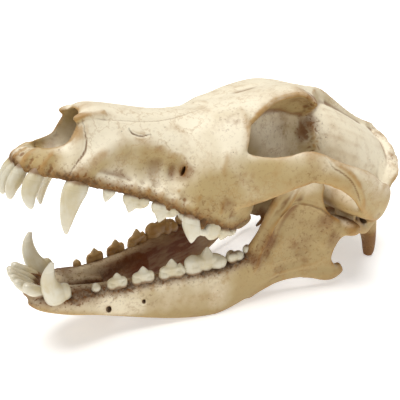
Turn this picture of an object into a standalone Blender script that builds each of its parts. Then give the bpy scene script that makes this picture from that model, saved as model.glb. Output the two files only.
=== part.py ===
"""A wolf skull at life size: the cranium and the two halves of the lower jaw, gaping.

Every bone is modelled in millimetres in its own frame: x runs back from the front teeth, y to the
animal's right and z up from the tooth sockets. The bones are then tilted into the pose and scaled
to metres. Each bone is first laid up from plain closed shapes, the clay, which a voxel remesh
unites; the clay is smoothed, pressed and cut, and thinned out to a light faceted solid.
"""

import bpy
import bmesh
import numpy as np
from math import cos, pi, radians, sin
from mathutils import Matrix

MM = 0.001

# Driving sizes, in millimetres
SKULL_LENGTH = 242.0          # front teeth to the rear corner of the crown, along x
ZYGOMA_HALF = 67.0            # middle to the outside of the cheek arch
MUZZLE_HALF = 23.0            # middle to the outside of the upper canine
JAW_GAP = 0.4                 # between the two halves of the jaw, at the chin
HEAD_TILT = 23.4              # degrees, nose up
JAW_TILT = 2.2                # degrees
HEAD_PLACE = (3.0, 0.0, 73.8)  # front of the palate, from the front of the jaw
FLOOR = -33.9                 # from the front of the jaw
CENTRE_X = 122.5              # middle of the whole length, from the front of the jaw
JAW_BLADE = 4.6               # thickness of the jaw's upright blade
BLADE_TURN = 15.4             # degrees the blade turns out towards the back
LEAN = 0.32                   # how far the jaw's lower rear border leans in, per millimetre down

# How fine the clay and how light the finished solids are
VOXEL = 1.25
CRANIUM_TRIANGLES = 5600
JAW_TRIANGLES = 1900
AROUND = 28                   # points round a shape
CRANIUM_PASSES = 10           # smoothing passes over the cranium's clay
JAW_PASSES = 8                # smoothing passes over the jaw's clay
SHARP_ANGLE = 40              # degrees; steeper edges are shaded sharp
ROUGHNESS = 0.55
CRANIUM_COLOUR = (0.60, 0.51, 0.37)
JAW_COLOUR = (0.58, 0.48, 0.33)

LEFT = -1
RIGHT = 1


# Ways of laying up clay

def eased(rows, steps=5):
    """More rows between the given ones, on a smooth curve through them."""
    rows = np.array(rows, float)
    padded = np.vstack((2 * rows[0] - rows[1], rows, 2 * rows[-1] - rows[-2]))
    out = []
    for before, start, end, after in zip(padded, padded[1:], padded[2:], padded[3:]):
        for t in np.arange(steps) / steps:
            out.append(start + 0.5 * t * (end - before
                                          + t * (2 * before - 5 * start + 4 * end - after
                                                 + t * (3 * (start - end) + after - before))))
    out.append(rows[-1])
    return np.array(out)


def add_tube(clay, rings):
    """A closed body through rings of points: a grid rolled up, welded and capped."""
    rows, around = len(rings), len(rings[0])
    grid = bmesh.ops.create_grid(clay, x_segments=around, y_segments=rows - 1, size=1.0)["verts"]
    for index, vert in enumerate(grid):
        row, column = divmod(index, around + 1)
        vert.co = rings[row][column % around]
    bmesh.ops.remove_doubles(clay, verts=grid, dist=1e-4)
    rim = {edge for vert in grid if vert.is_valid for edge in vert.link_edges if edge.is_boundary}
    bmesh.ops.holes_fill(clay, edges=list(rim))


def oval(centre, across, rise, half_width, half_height, square=2.0):
    """One ring of points: an ellipse, or a boxier figure when square is over 2."""
    ring = []
    for k in range(AROUND):
        c, s = cos(2 * pi * k / AROUND), sin(2 * pi * k / AROUND)
        ring.append(centre + across * (half_width * np.sign(c) * abs(c) ** (2 / square))
                    + rise * (half_height * np.sign(s) * abs(s) ** (2 / square)))
    return ring


def add_bar(clay, rows, side=1, up=(0, 0, 1), square=2.0, steps=4):
    """A bar through rows of x, y, z, half width and half height; side mirrors y.

    Its width lies across both its run and up; square is 2 for an oval, more for a boxy section."""
    rows = eased(rows, steps)
    path = rows[:, :3] * (1, side, 1)
    lift = np.array(up, float) * (1, side, 1)
    rings = []
    for centre, run, (half_width, half_height) in zip(path, np.gradient(path, axis=0), rows[:, 3:5]):
        across = np.cross(lift, run)
        across /= np.linalg.norm(across)
        rise = np.cross(run, across)
        rise /= np.linalg.norm(rise)
        rings.append(oval(centre, across, rise, half_width, half_height, square))
    add_tube(clay, rings)


def add_pair(clay, rows, **options):
    """The same bar on both sides."""
    for side in (LEFT, RIGHT):
        add_bar(clay, rows, side=side, **options)


def add_ball(clay, centre, radii, turn=(0, 0, 0)):
    """An ellipsoid, turned by degrees about x, y and z."""
    place = Matrix.Translation(centre)
    for axis, angle in zip("XYZ", turn):
        place = place @ Matrix.Rotation(radians(angle), 4, axis)
    place = place @ Matrix.Diagonal((*radii, 1))
    bmesh.ops.create_icosphere(clay, subdivisions=3, radius=1.0, matrix=place)


def add_balls(clay, centre, radii, turn=(0, 0, 0)):
    """The same ellipsoid on both sides."""
    for side in (LEFT, RIGHT):
        x, y, z = centre
        about_x, about_y, about_z = turn
        add_ball(clay, (x, y * side, z), radii, (about_x * side, about_y, about_z * side))


def add_sections(clay, stations, steps=4):
    """A body through upright cross-sections, alike on both sides.

    A station is x, then y and z of the half outline from the top middle down to the bottom."""
    rings = []
    for row in eased(stations, steps):
        half = row[1:].reshape(-1, 2)
        outline = np.vstack((half, half[-2:0:-1] * (-1, 1)))
        closed = eased(np.vstack((outline[-1], outline, outline[:2])), 4)[4:-5]
        rings.append([(row[0], y, z) for y, z in closed])
    add_tube(clay, rings)


def add_plate(clay, outline, base, turn, thickness, side):
    """A flat plate: an outline of x, z pairs, eased and extruded, then turned about z at base."""
    closed = [outline[-1], *outline, outline[0], outline[1]]
    points = eased(closed, 4)[4:-5]
    part = bmesh.new()
    corners = [part.verts.new((x - base[0], -thickness / 2, z)) for x, z in points]
    face = part.faces.new(corners)
    pulled = bmesh.ops.extrude_face_region(part, geom=[face])["geom"]
    moved = [item for item in pulled if isinstance(item, bmesh.types.BMVert)]
    bmesh.ops.translate(part, verts=moved, vec=(0, thickness, 0))
    bmesh.ops.rotate(part, verts=part.verts, matrix=Matrix.Rotation(radians(turn), 3, "Z"))
    bmesh.ops.translate(part, verts=part.verts, vec=(base[0], base[1], 0))
    bmesh.ops.scale(part, verts=part.verts, vec=(1, side, 1))
    spare = bpy.data.meshes.new("plate")
    part.to_mesh(spare)
    part.free()
    clay.from_mesh(spare)
    bpy.data.meshes.remove(spare)


# Teeth

# A cheek tooth's body: heights above the gum as shares of the crown's height, and its widths
BODY_ROOT = ((-4.0, 0.80), (-1.0, 0.86), (0.2, 0.94))
BODY_CROWN = ((0.35, 1.0), (0.7, 0.92), (1.0, 0.6), (1.1, 0.05))
BODY_SQUARE = 2.4
CUSP_STEPS = (-0.3, 0.0, 0.2, 0.4, 0.6, 0.78, 0.9, 0.97, 1.0)
CUSP_LEAN = 0.12


def add_tooth(clay, place, heading, down, size, cusps, side):
    """A cheek tooth: a low oval crown with cusps on it.

    place is the middle of its gum line, heading turns its row in degrees, down is -1 for an upper
    tooth. Cusps are rows of along, across, height and the two radii at the gum."""
    length, width, crown = size
    along = np.array((cos(radians(heading)), sin(radians(heading)) * side, 0.0))
    across = np.array((-along[1], along[0], 0.0)) * side
    rise = np.array((0.0, 0.0, float(down)))
    origin = np.array(place, float) * (1, side, 1)
    body = BODY_ROOT + tuple((height * crown, share) for height, share in BODY_CROWN)
    add_tube(clay, [oval(origin + rise * height, along, across, share * length / 2, share * width / 2,
                         BODY_SQUARE) for height, share in body])
    for forward, out, height, long_radius, wide_radius in cusps:
        rings = []
        for t in CUSP_STEPS:
            keep = max(1 - max(t, 0.0), 0.0) ** 0.8 + 0.02
            middle = origin + along * forward * (1 - CUSP_LEAN * max(t, 0)) + across * out + rise * t * height
            rings.append(oval(middle, along, across, long_radius * keep, wide_radius * keep))
        add_tube(clay, rings)


# Cheek teeth, front to back: place, heading, size and cusps
UPPER_TEETH = (
    ((43.6, 22.0, -0.5), 6, (6.6, 4.4, 2.6), ((-0.2, 0, 6.6, 3.0, 2.0),)),
    ((58.4, 24.4, -1.2), 13, (13.4, 5.0, 2.6),
     ((-1.6, 0, 9.2, 5.0, 2.3), (4.6, 0, 4.8, 2.4, 1.8))),
    ((74.4, 28.2, -2.2), 15, (15.2, 5.6, 2.8),
     ((-1.2, 0, 10.0, 5.6, 2.5), (4.8, 0, 5.6, 2.5, 1.9), (7.0, 0, 3.6, 1.6, 1.6))),
    ((94.6, 35.4, -5.0), 14, (24.0, 8.0, 4.0),
     ((-4.0, 0.4, 13.8, 6.8, 3.8), (7.0, 0.3, 10.0, 5.2, 3.2), (-8.5, 0.4, 5.0, 3.8, 3.0),
      (-9.0, -5.6, 4.2, 3.2, 3.0))),
    ((110.6, 31.6, -8.0), -16, (14.0, 16.5, 2.4),
     ((-3.5, 5.2, 6.4, 4.2, 2.8), (3.4, 4.8, 4.6, 3.8, 2.8), (-0.6, -2.6, 4.0, 3.2, 3.2),
      (1.4, -6.6, 3.2, 4.2, 2.4))),
    ((120.6, 26.6, -3.2), -26, (7.0, 11.6, 2.0),
     ((-1.5, 3.2, 3.6, 2.5, 2.4), (1.5, 3.0, 3.0, 2.0, 2.2), (0, -3.0, 2.8, 2.7, 2.6))),
)
LOWER_TEETH = (
    ((30.2, 15.4, 0.2), 5, (5.2, 4.4, 2.4), ((-0.2, 0, 4.8, 2.4, 1.9),)),
    ((41.8, 17.0, -0.2), 9, (11.6, 4.6, 2.6),
     ((0.2, 0, 8.4, 4.4, 2.1), (4.2, 0, 4.6, 1.9, 1.7), (-4.0, 0, 4.4, 1.9, 1.7))),
    ((56.4, 19.6, -0.2), 12, (13.2, 5.0, 2.8),
     ((0.2, 0, 9.1, 4.8, 2.3), (4.7, 0, 5.2, 2.1, 1.8), (-4.7, 0, 4.6, 2.0, 1.8))),
    ((72.4, 23.2, -0.2), 15, (15.4, 5.8, 3.2),
     ((0.2, 0, 10.7, 5.3, 2.6), (5.0, 0, 7.0, 2.5, 2.2), (-5.2, 0, 5.0, 2.3, 2.0))),
    ((92.2, 27.4, 0.0), 12, (25.0, 8.0, 4.6),
     ((0.6, 0.2, 14.0, 6.2, 3.7), (-7.4, 0.2, 10.2, 5.8, 3.5), (3.2, -2.6, 8.4, 3.2, 2.5),
      (8.6, 1.4, 7.4, 4.5, 2.9), (9.4, -2.2, 5.6, 3.1, 2.5))),
    ((110.2, 31.0, 2.6), 12, (11.0, 7.4, 2.6),
     ((-1.8, 1.6, 5.2, 3.2, 2.4), (-1.8, -1.8, 4.8, 2.8, 2.2), (2.8, 0.5, 4.4, 2.6, 2.6))),
    ((118.2, 32.6, 5.8), 12, (5.8, 5.4, 2.4), ((0, 0, 4.2, 2.3, 2.2),)),
)
# Front teeth: rows of x, y, z, half width and half depth, from the root to the tip
UPPER_FRONT = (
    ((5.5, 2.2, 5, 2.0, 2.8), (1.8, 2.5, -1, 2.3, 3.0), (-0.8, 2.7, -6, 2.5, 3.2),
     (-2.0, 2.8, -10.5, 2.4, 2.5), (-1.8, 2.8, -14.2, 1.8, 1.4), (-1.5, 2.8, -15.6, 0.7, 0.5)),
    ((7.5, 6.4, 5, 2.1, 3.0), (3.4, 7.6, -1, 2.5, 3.3), (1.4, 8.2, -6, 2.8, 3.7),
     (0.4, 8.4, -10.5, 2.7, 3.0), (0.6, 8.5, -14.6, 1.8, 1.7), (1.0, 8.5, -16.0, 0.7, 0.6)),
    ((12.5, 12.0, 7, 2.6, 3.2), (8.8, 14.2, -0.5, 3.1, 3.9), (7.2, 15.3, -6, 3.4, 4.3),
     (6.8, 16.4, -10.5, 3.0, 3.6), (8.2, 17.2, -14.6, 1.9, 2.2), (9.2, 17.6, -16.6, 0.7, 0.7)),
    ((30.5, 19.5, 11, 3.6, 5.6), (26.6, 22.2, 0.0, 4.4, 6.6), (25.0, 23.4, -7.0, 4.2, 5.6),
     (24.8, 23.9, -14.0, 3.3, 4.2), (25.6, 23.7, -20.5, 2.0, 2.5), (26.9, 23.3, -25.4, 0.6, 0.7)),
)
LOWER_FRONT = (
    ((5.0, 2.4, -6, 1.7, 2.2), (0.6, 2.4, 2.0, 2.0, 2.6), (-3.6, 2.6, 7.4, 2.3, 3.0),
     (-6.8, 2.8, 11.0, 2.3, 2.6), (-9.0, 2.9, 14.0, 1.8, 1.6), (-9.8, 2.9, 15.2, 0.7, 0.6)),
    ((6.5, 5.6, -6, 1.9, 2.4), (2.0, 6.5, 2.2, 2.3, 2.8), (-2.6, 7.3, 7.4, 2.6, 3.2),
     (-6.2, 7.7, 10.8, 2.7, 2.7), (-8.4, 7.9, 13.6, 2.2, 1.7), (-9.2, 7.9, 14.6, 0.8, 0.7)),
    ((8.5, 8.6, -5, 2.0, 2.4), (4.2, 10.2, 2.4, 2.5, 3.0), (0.2, 11.6, 7.0, 2.9, 3.4),
     (-3.2, 12.6, 10.0, 3.0, 3.0), (-5.0, 13.0, 12.6, 2.4, 1.9), (-5.8, 13.1, 13.8, 0.9, 0.7)),
    ((20.0, 11.0, -12, 4.0, 5.6), (10.6, 14.6, 1.6, 4.7, 6.6), (8.2, 16.0, 6.0, 4.8, 6.2),
     (6.0, 17.8, 11.0, 4.2, 4.8), (5.2, 19.4, 16.5, 3.3, 3.9), (5.9, 20.8, 21.5, 2.4, 2.7),
     (7.8, 21.4, 26.0, 0.9, 1.0)),
)


def add_teeth(clay, fronts, cheeks, down, side):
    """One side's row of teeth."""
    for rows in fronts:
        add_bar(clay, rows, side=side, up=(1, 0, 0))
    for place, heading, size, cusps in cheeks:
        add_tooth(clay, place, heading, down, size, cusps, side)


# The cranium's clay

def lay_muzzle(clay):
    """Face from the front teeth to the eye sockets, through cross-sections."""
    add_pair(clay, ((36, 8.8, 35.2, 4, 2.4), (28, 10.4, 32.6, 3.2, 2.0), (23.0, 11.6, 30.4, 2.4, 1.6),
                    (20.6, 12.0, 28.6, 1.2, 1.2)))
    add_pair(clay, ((35, 20.8, 3.0, 3.8, 4.2), (44, 21.4, 2.6, 3.5, 3.8), (58, 23.2, 2.0, 3.7, 3.8),
                    (74, 27.2, 1.0, 3.9, 3.9), (86, 32.4, -0.8, 4.6, 4.2), (98, 35.6, -2.4, 5.0, 4.6),
                    (106, 36.0, -4.4, 4.8, 5.0), (113, 35.2, -4.2, 4.6, 5.0), (119, 32.8, -1.6, 4.4, 4.4),
                    (127, 29.0, 0.4, 4.2, 4.0)), square=2.4)
    add_pair(clay, ((26.6, 20.6, 2.0, 4.6, 7.2), (29.0, 19.4, 6.5, 4.2, 6.4), (34, 17.0, 14, 3.6, 5.2),
                    (41, 14.8, 20.5, 2.6, 4.0)), up=(1, 0, 0))
    for x, y in ((3.0, 2.7), (4.8, 8.0), (10.2, 13.8)):
        add_pair(clay, ((x, y, -0.4, 3.0, 3.6), (x + 2.2, y * 0.94, 4.5, 2.8, 3.2),
                        (x + 5.4, y * 0.85, 9, 2.0, 2.4)), up=(1, 0, 0))
    add_sections(clay, (
        (-0.5, 0, 4.5, 2.5, 4.2, 4.5, 3, 5.0, 0.8, 4.5, -1.2, 2.5, -1.6, 0, -1.6),
        (4, 0, 8, 4.0, 8.0, 8.5, 6.2, 11.0, 2.6, 11.2, -1.2, 7.0, -1.8, 0, -1.5),
        (10, 0, 11.5, 7.0, 11.3, 12.4, 9.4, 16.0, 4.4, 16.6, -0.8, 11, -1.4, 0, -0.6),
        (17, 0, 15.5, 8.5, 15.3, 14.6, 13, 19.0, 6.4, 20.4, 0.2, 14, -0.4, 0, 0.6),
        (20.5, 0, 19.5, 8.5, 19.4, 14.6, 16.4, 19.6, 9, MUZZLE_HALF, 0.8, 16, 0, 0, 1.2),
        (23, 0, 29, 8.4, 28.6, 14.8, 24, 19.6, 12, 24.0, 0.8, 17, 0.4, 0, 1.7),
        (26, 0, 36.0, 8.4, 34.8, 14.6, 28, 19.4, 14, 24.4, 0.8, 17, 0.6, 0, 2.1),
        (34, 0, 38.8, 8.4, 37.2, 14.2, 30.2, 18.8, 16, 23.4, 0.2, 17, 0.6, 0, 2.7),
        (46, 0, 40.6, 8.6, 38.6, 16.4, 30.0, 18.8, 17, 22.6, -0.2, 16, 0.9, 0, 3.4),
        (58, 0, 42.0, 9.0, 40.0, 18.4, 30.4, 20.2, 17.8, 25.0, -0.8, 18, 0.8, 0, 3.8),
        (70, 0, 44.0, 9.4, 42.0, 20.0, 31.6, 22.8, 18.6, 28.8, -1.8, 21, 0.2, 0, 4.0),
        (81, 0, 47.2, 9.8, 45.8, 21.4, 36.0, 28.4, 20.5, 33.8, -3.6, 25.5, -1.2, 0, 3.8),
        (91, 0, 50.4, 11.6, 49.6, 24.6, 42.4, 34.8, 23.5, 38.4, -4.8, 28, -2.0, 0, 3.4),
        (100, 0, 55.4, 13.6, 55.2, 28.6, 47.6, 38.6, 26.5, 39.8, -4.6, 28.5, -2.2, 0, 3.0),
        (107, 0, 59.8, 15.0, 59.8, 31.6, 52.0, 39.8, 29.0, 38.8, -4.2, 27, -2.0, 0, 2.6),
        (110, 0, 62.0, 15.0, 62.0, 29.0, 52.0, 34.0, 27.0, 36.4, -3.8, 26, -1.6, 0, 2.4)))


def lay_brow(clay):
    """Forehead roof, out to the rims over the eyes and their hind corners, then in to the crest."""
    add_sections(clay, (
        (101, 0, 55.8, 13.5, 55.8, 27.0, 48.0, 20.0, 36, 0, 32),
        (107, 0, 60.0, 15.0, 60.0, 31.6, 50.4, 23.4, 41, 0, 36),
        (113, 0, 64.0, 16.0, 64.0, 30.0, 55.4, 23.0, 48, 0, 40),
        (120, 0, 68.4, 16.0, 68.6, 27.2, 62.4, 20.8, 56, 0, 46),
        (128, 0, 72.4, 16.0, 72.8, 25.4, 69.0, 19.8, 63.4, 0, 50),
        (136, 0, 76.0, 16.0, 76.6, 26.6, 73.2, 20.5, 68, 0, 54),
        (143, 0, 78.6, 17.0, 79.2, 29.8, 75.4, 22.5, 71, 0, 56),
        (149, 0, 80.2, 17.5, 80.2, 34.0, 72.0, 24.0, 69.4, 0, 58),
        (153, 0, 81.0, 15.5, 80.6, 30.6, 71.6, 22.0, 68.5, 0, 59),
        (159, 0, 81.8, 12.0, 80.8, 21.0, 73.6, 17.0, 66.0, 0, 60),
        (167, 0, 83.0, 7.0, 81.8, 13.0, 76.4, 13.0, 66.0, 0, 60),
        (176, 0, 84.6, 2.6, 83.4, 6.0, 78.0, 9.0, 67.0, 0, 60),
        (184, 0, 84.2, 1.4, 82.6, 3.6, 77.0, 7.0, 67.0, 0, 60)))


def lay_braincase(clay):
    """Walls between the eyes, then the egg of the braincase."""
    add_bar(clay, (
        (100, 0, 31, 20, 24), (116, 0, 34, 19.5, 28), (130, 0, 38, 18.5, 29), (144, 0, 40, 18.0, 31),
        (157, 0, 41, 19.0, 33), (168, 0, 41, 23.0, 34), (180, 0, 41, 29.5, 34.8),
        (194, 0, 40.4, 33.2, 34.6), (208, 0, 39.6, 34.2, 33.4), (220, 0, 39.2, 33.6, 32.0),
        (230, 0, 39, 31.0, 30.0), (237, 0, 39, 25.0, 25.0)), square=2.25)
    add_bar(clay, (
        (112, 0, 13, 15, 6), (130, 0, 13, 12.5, 4), (150, 0, 11, 12, 4), (170, 0, 10, 13, 4.5),
        (190, 0, 9.5, 14, 4.5), (210, 0, 9.0, 14, 4.5), (226, 0, 9.5, 13.5, 5),
        (238, 0, 11.5, 12, 4)), square=3.0)


def lay_crests(clay):
    """Keel along the crown and the collar round the back of the head."""
    add_bar(clay, (
        (170, 0, 78, 3.0, 5.5), (180, 0, 78.6, 2.4, 6.4), (192, 0, 75.8, 2.2, 6.6),
        (208, 0, 72.0, 2.2, 6.4), (222, 0, 69.6, 2.4, 6.4), (233, 0, 69.0, 3.2, 6.4),
        (SKULL_LENGTH - 1.5, 0, 70.6, 3.6, 5.2)), square=2.2)
    for side in (LEFT, RIGHT):
        add_bar(clay, (
            (238.5, -3, 69, 2.4, 6.5), (238.0, 8, 66.4, 2.4, 6.5), (236.5, 18, 60.6, 2.2, 7.0),
            (234.5, 27, 54.6, 2.2, 7.4), (232.0, 33.5, 48, 2.2, 7.0), (229.0, 36, 40, 2.3, 6.2),
            (225.0, 36.5, 31, 2.6, 5.6), (221.0, 36.5, 22, 3.4, 5.6), (219.0, 35.5, 14, 4.5, 5.5)),
            side=side, up=(0.75, 0.55, 0.5))


def lay_arches(clay):
    """Cheek arches, from the face round to the jaw's hinge, and their ridge behind it."""
    wide = ZYGOMA_HALF
    add_pair(clay, (
        (98, 33, 19, 6.0, 17), (108, 37.4, 20, 5.2, 16.4), (117, 42.2, 23.4, 4.4, 13.6),
        (125, 47.2, 28.0, 3.6, 11.2), (132, 52.0, 33.2, 3.0, 9.8), (139, 56.4, 38.4, 2.8, 9.4),
        (148, 60.2, 38.4, 2.7, 7.8), (160, 63.2, 37.8, 2.8, 8.0), (172, 65.0, 35.8, 2.8, 9.6),
        (183, wide - 2.6, 31.6, 3.0, 11.2), (191, wide - 3.8, 28.4, 3.6, 10.6),
        (197, 59.0, 26.6, 4.6, 9.0)))
    add_pair(clay, (
        (194, 63, 26, 10.0, 8.5), (192.5, 56, 24.0, 13.0, 8.3), (191.5, 48, 23.4, 14.5, 8.0),
        (192, 38, 23.6, 14.5, 8.0), (194, 26, 25, 13, 9)), square=3.0)
    add_pair(clay, (
        (186, 65, 33, 3.2, 7.5), (196, 62.4, 32, 4.4, 8.5), (204, 56.6, 27, 5.0, 10.0),
        (210, 49.6, 22.5, 5.0, 10.0), (216, 43, 22, 5.0, 9.0), (222, 38, 24, 5.0, 8.0)))
    add_pair(clay, ((197, 36, 20, 2.6, 8), (198.5, 40, 12, 2.4, 8.5), (199, 44, 7.5, 1.8, 6.5),
                    (200, 45, 2.6, 1.4, 4.0)), up=(0, 1, 0))


def lay_base(clay):
    """Tuberosity behind the teeth, wings of the throat, ear capsules and the neck joint."""
    add_pair(clay, ((100, 27, 4, 11, 9.5), (112, 27.5, 5, 11.5, 10), (122, 26.5, 6, 9.5, 9.5),
                    (130, 22.5, 7, 6.0, 7.5), (136, 18, 8, 3.5, 6)), square=2.8)
    add_bar(clay, ((98, 0, 5, 20, 3), (114, 0, 4.2, 20, 2.8), (124, 0, 3.2, 16, 2.4),
                   (129.5, 0, 2.6, 13, 1.8)), square=3.0)
    add_pair(clay, ((124, 15.5, 3.5, 2.6, 8.5), (136, 13.2, 4.6, 1.9, 8.5), (148, 12.4, 4.4, 1.7, 8.2),
                    (155, 12.4, 4.0, 1.6, 7.4), (161, 12.6, 6.5, 1.5, 4.5)))
    add_pair(clay, ((153, 12.4, 0.6, 1.6, 3.6), (156, 12.8, -2.4, 1.6, 2.8),
                    (155.8, 12.9, -6.4, 1.5, 2.0)))
    add_balls(clay, (212, 19.5, 3.4), (14.5, 11.0, 12.2), (0, 0, 14))
    add_pair(clay, ((211, 26, 9, 6.5, 6), (213, 34, 13, 7.0, 6.5), (214, 39, 16, 6.5, 6.0)))
    add_pair(clay, ((203, 42, 10, 3.0, 3.6), (211, 42.4, 6.8, 3.4, 4.0), (221, 40, 7.0, 4.4, 4.8)))
    add_pair(clay, ((226, 30, 20, 6.5, 9), (231, 33, 8, 5.4, 7.4), (236, 34.4, -1, 4.2, 5.8),
                    (239.5, 34.8, -8.4, 3.6, 4.6), (241.0, 34.8, -13.0, 2.9, 3.2)), up=(0, 1, 0))
    add_pair(clay, ((222, 36.5, 26, 7, 6), (221, 39.5, 17, 6.4, 5.4), (219, 40.4, 9, 5.4, 4.6)),
             up=(0, 1, 0))
    add_balls(clay, (238, 14.4, 19), (7.6, 7.6, 11.0), (-14, 0, -20))
    add_balls(clay, (236, 9.0, 12.0), (8.0, 7.6, 5.0), (0, 0, -10))
    add_sections(clay, (
        (224, 0, 72, 10, 69, 21, 62, 31, 52, 35, 38, 34, 24, 22, 10, 0, 9),
        (230, 0, 72, 10, 69, 22, 61.5, 31, 51, 34, 38, 32, 24, 20, 12, 0, 10),
        (235, 0, 68, 9, 65, 18, 58, 25, 47, 28, 36, 27, 25, 18, 14, 0, 12)))


# Cutting and pressing

def shell_object(name, clay):
    """A mesh object from clay, with every shell facing out."""
    bmesh.ops.recalc_face_normals(clay, faces=clay.faces)
    mesh = bpy.data.meshes.new(name)
    clay.to_mesh(mesh)
    clay.free()
    thing = bpy.data.objects.new(name, mesh)
    bpy.context.scene.collection.objects.link(thing)
    return thing


def settle(thing):
    """The object's modifiers, made part of its mesh."""
    bpy.context.view_layer.update()
    seen = thing.evaluated_get(bpy.context.evaluated_depsgraph_get())
    mesh = bpy.data.meshes.new_from_object(seen)
    old = thing.data
    thing.modifiers.clear()
    thing.data = mesh
    bpy.data.meshes.remove(old)


def unite(thing, voxel, passes):
    """One skin round all the shells, then smoothed."""
    remesh = thing.modifiers.new("One skin", "REMESH")
    remesh.mode = "VOXEL"
    remesh.voxel_size = voxel
    remesh.adaptivity = 0.0
    smooth = thing.modifiers.new("Smoothed", "SMOOTH")
    smooth.factor = 0.5
    smooth.iterations = passes
    settle(thing)


def cut(thing, cutter_clay):
    """Takes the cutter's shells out of the object."""
    cutter = shell_object("cutter", cutter_clay)
    unite(cutter, VOXEL, 1)
    boolean = thing.modifiers.new("Cut", "BOOLEAN")
    boolean.operation = "DIFFERENCE"
    boolean.solver = "EXACT"
    boolean.object = cutter
    settle(thing)
    mesh = cutter.data
    bpy.data.objects.remove(cutter)
    bpy.data.meshes.remove(mesh)


def coordinates(thing):
    """The mesh's points as an array."""
    points = np.empty(len(thing.data.vertices) * 3, np.float32)
    thing.data.vertices.foreach_get("co", points)
    return points.reshape(-1, 3).astype(float)


def put_coordinates(thing, points):
    """Writes the points back to the mesh."""
    thing.data.vertices.foreach_set("co", points.astype(np.float32).ravel())


def press(points, centre, radii, push):
    """Moves the points round centre by push, fading to nothing at the radii."""
    reach = np.sum(((points - centre) / np.array(radii, float)) ** 2, axis=1)
    fade = np.clip(1 - reach, 0, 1) ** 2
    points += fade[:, None] * np.array(push, float)


def press_both(points, centre, radii, push):
    """The same press on both sides."""
    for side in (LEFT, RIGHT):
        press(points, np.array(centre, float) * (1, side, 1), radii, np.array(push, float) * (1, side, 1))


def open_nose(clay):
    """Cutter for the nose opening, from in front back to under the bridge."""
    add_bar(clay, (
        (-4, 0, 15, 2.0, 8.5), (2, 0, 17, 5.4, 9.6), (8, 0, 19.5, 9.2, 12.2), (14, 0, 20, 11.8, 13.2),
        (20, 0, 20, 12.6, 13.2), (26, 0, 20.4, 12.0, 12.8), (34, 0, 21.6, 11.4, 13.2),
        (46, 0, 22.5, 10.6, 13.0), (60, 0, 23, 10.5, 12), (72, 0, 24, 8, 8)), square=2.5)


def open_throat(clay):
    """Cutter for the passage behind the palate and the hole for the spinal cord."""
    add_bar(clay, ((166, 0, 0.5, 9.5, 5.5), (150, 0, 2.6, 10.2, 5.4), (138, 0, 4, 10.4, 5.6),
                   (124, 0, 9.0, 9.5, 4.4), (110, 0, 10, 8, 4)), square=2.6)
    add_bar(clay, ((256, 0, 22.4, 10.6, 8.6), (238, 0, 23.0, 10.6, 8.4), (228, 0, 25, 11, 9),
                   (206, 0, 32, 14, 13), (196, 0, 34, 8, 8)), square=2.2)


def open_small_holes(clay):
    """Cutters for the holes of the face nerve, the palate and the ear."""
    add_pair(clay, ((71, 33.5, 15.0, 1.5, 3.0), (76, 29.4, 16.2, 1.8, 3.4), (81, 25.6, 17.6, 2.0, 3.4),
                    (88, 23.0, 20, 2.0, 3.0), (96, 22, 22, 1.9, 2.6)))
    add_pair(clay, ((11.0, 5.0, -6, 1.6, 2.8), (13.0, 5.2, 2, 1.6, 3.6), (14.5, 5.0, 12, 1.6, 3.6)),
             up=(1, 0, 0))
    add_pair(clay, ((213, 46, 13.5, 3.2, 3.4), (213, 34, 12, 3.2, 3.4), (212, 22, 8, 5, 4.6)))


def sculpt_cranium(points):
    """Hollows and swellings pressed into the smoothed clay."""
    press_both(points, (96, 42, 12), (16, 14, 13), (0, -1.6, 0))
    press_both(points, (67, 25, 15), (16, 10, 12), (0, -3.0, 0))
    press_both(points, (75.5, 28, 16.5), (8, 9, 11), (0, -3.4, 0))
    press_both(points, (36, 20, 17), (14, 8, 12), (0, 1.2, 0))
    press(points, (118, 0, 70), (26, 7, 9), (0, 0, -2.2))
    press_both(points, (214, 30, 52), (20, 14, 14), (0, -1.2, -0.6))
    press_both(points, (241, 12, 47), (9, 11, 13), (-3.0, 0, 0))
    press_both(points, (187.5, 50, 15.5), (8, 15, 5), (0, 0, 1.2))


# The jaw's clay

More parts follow.
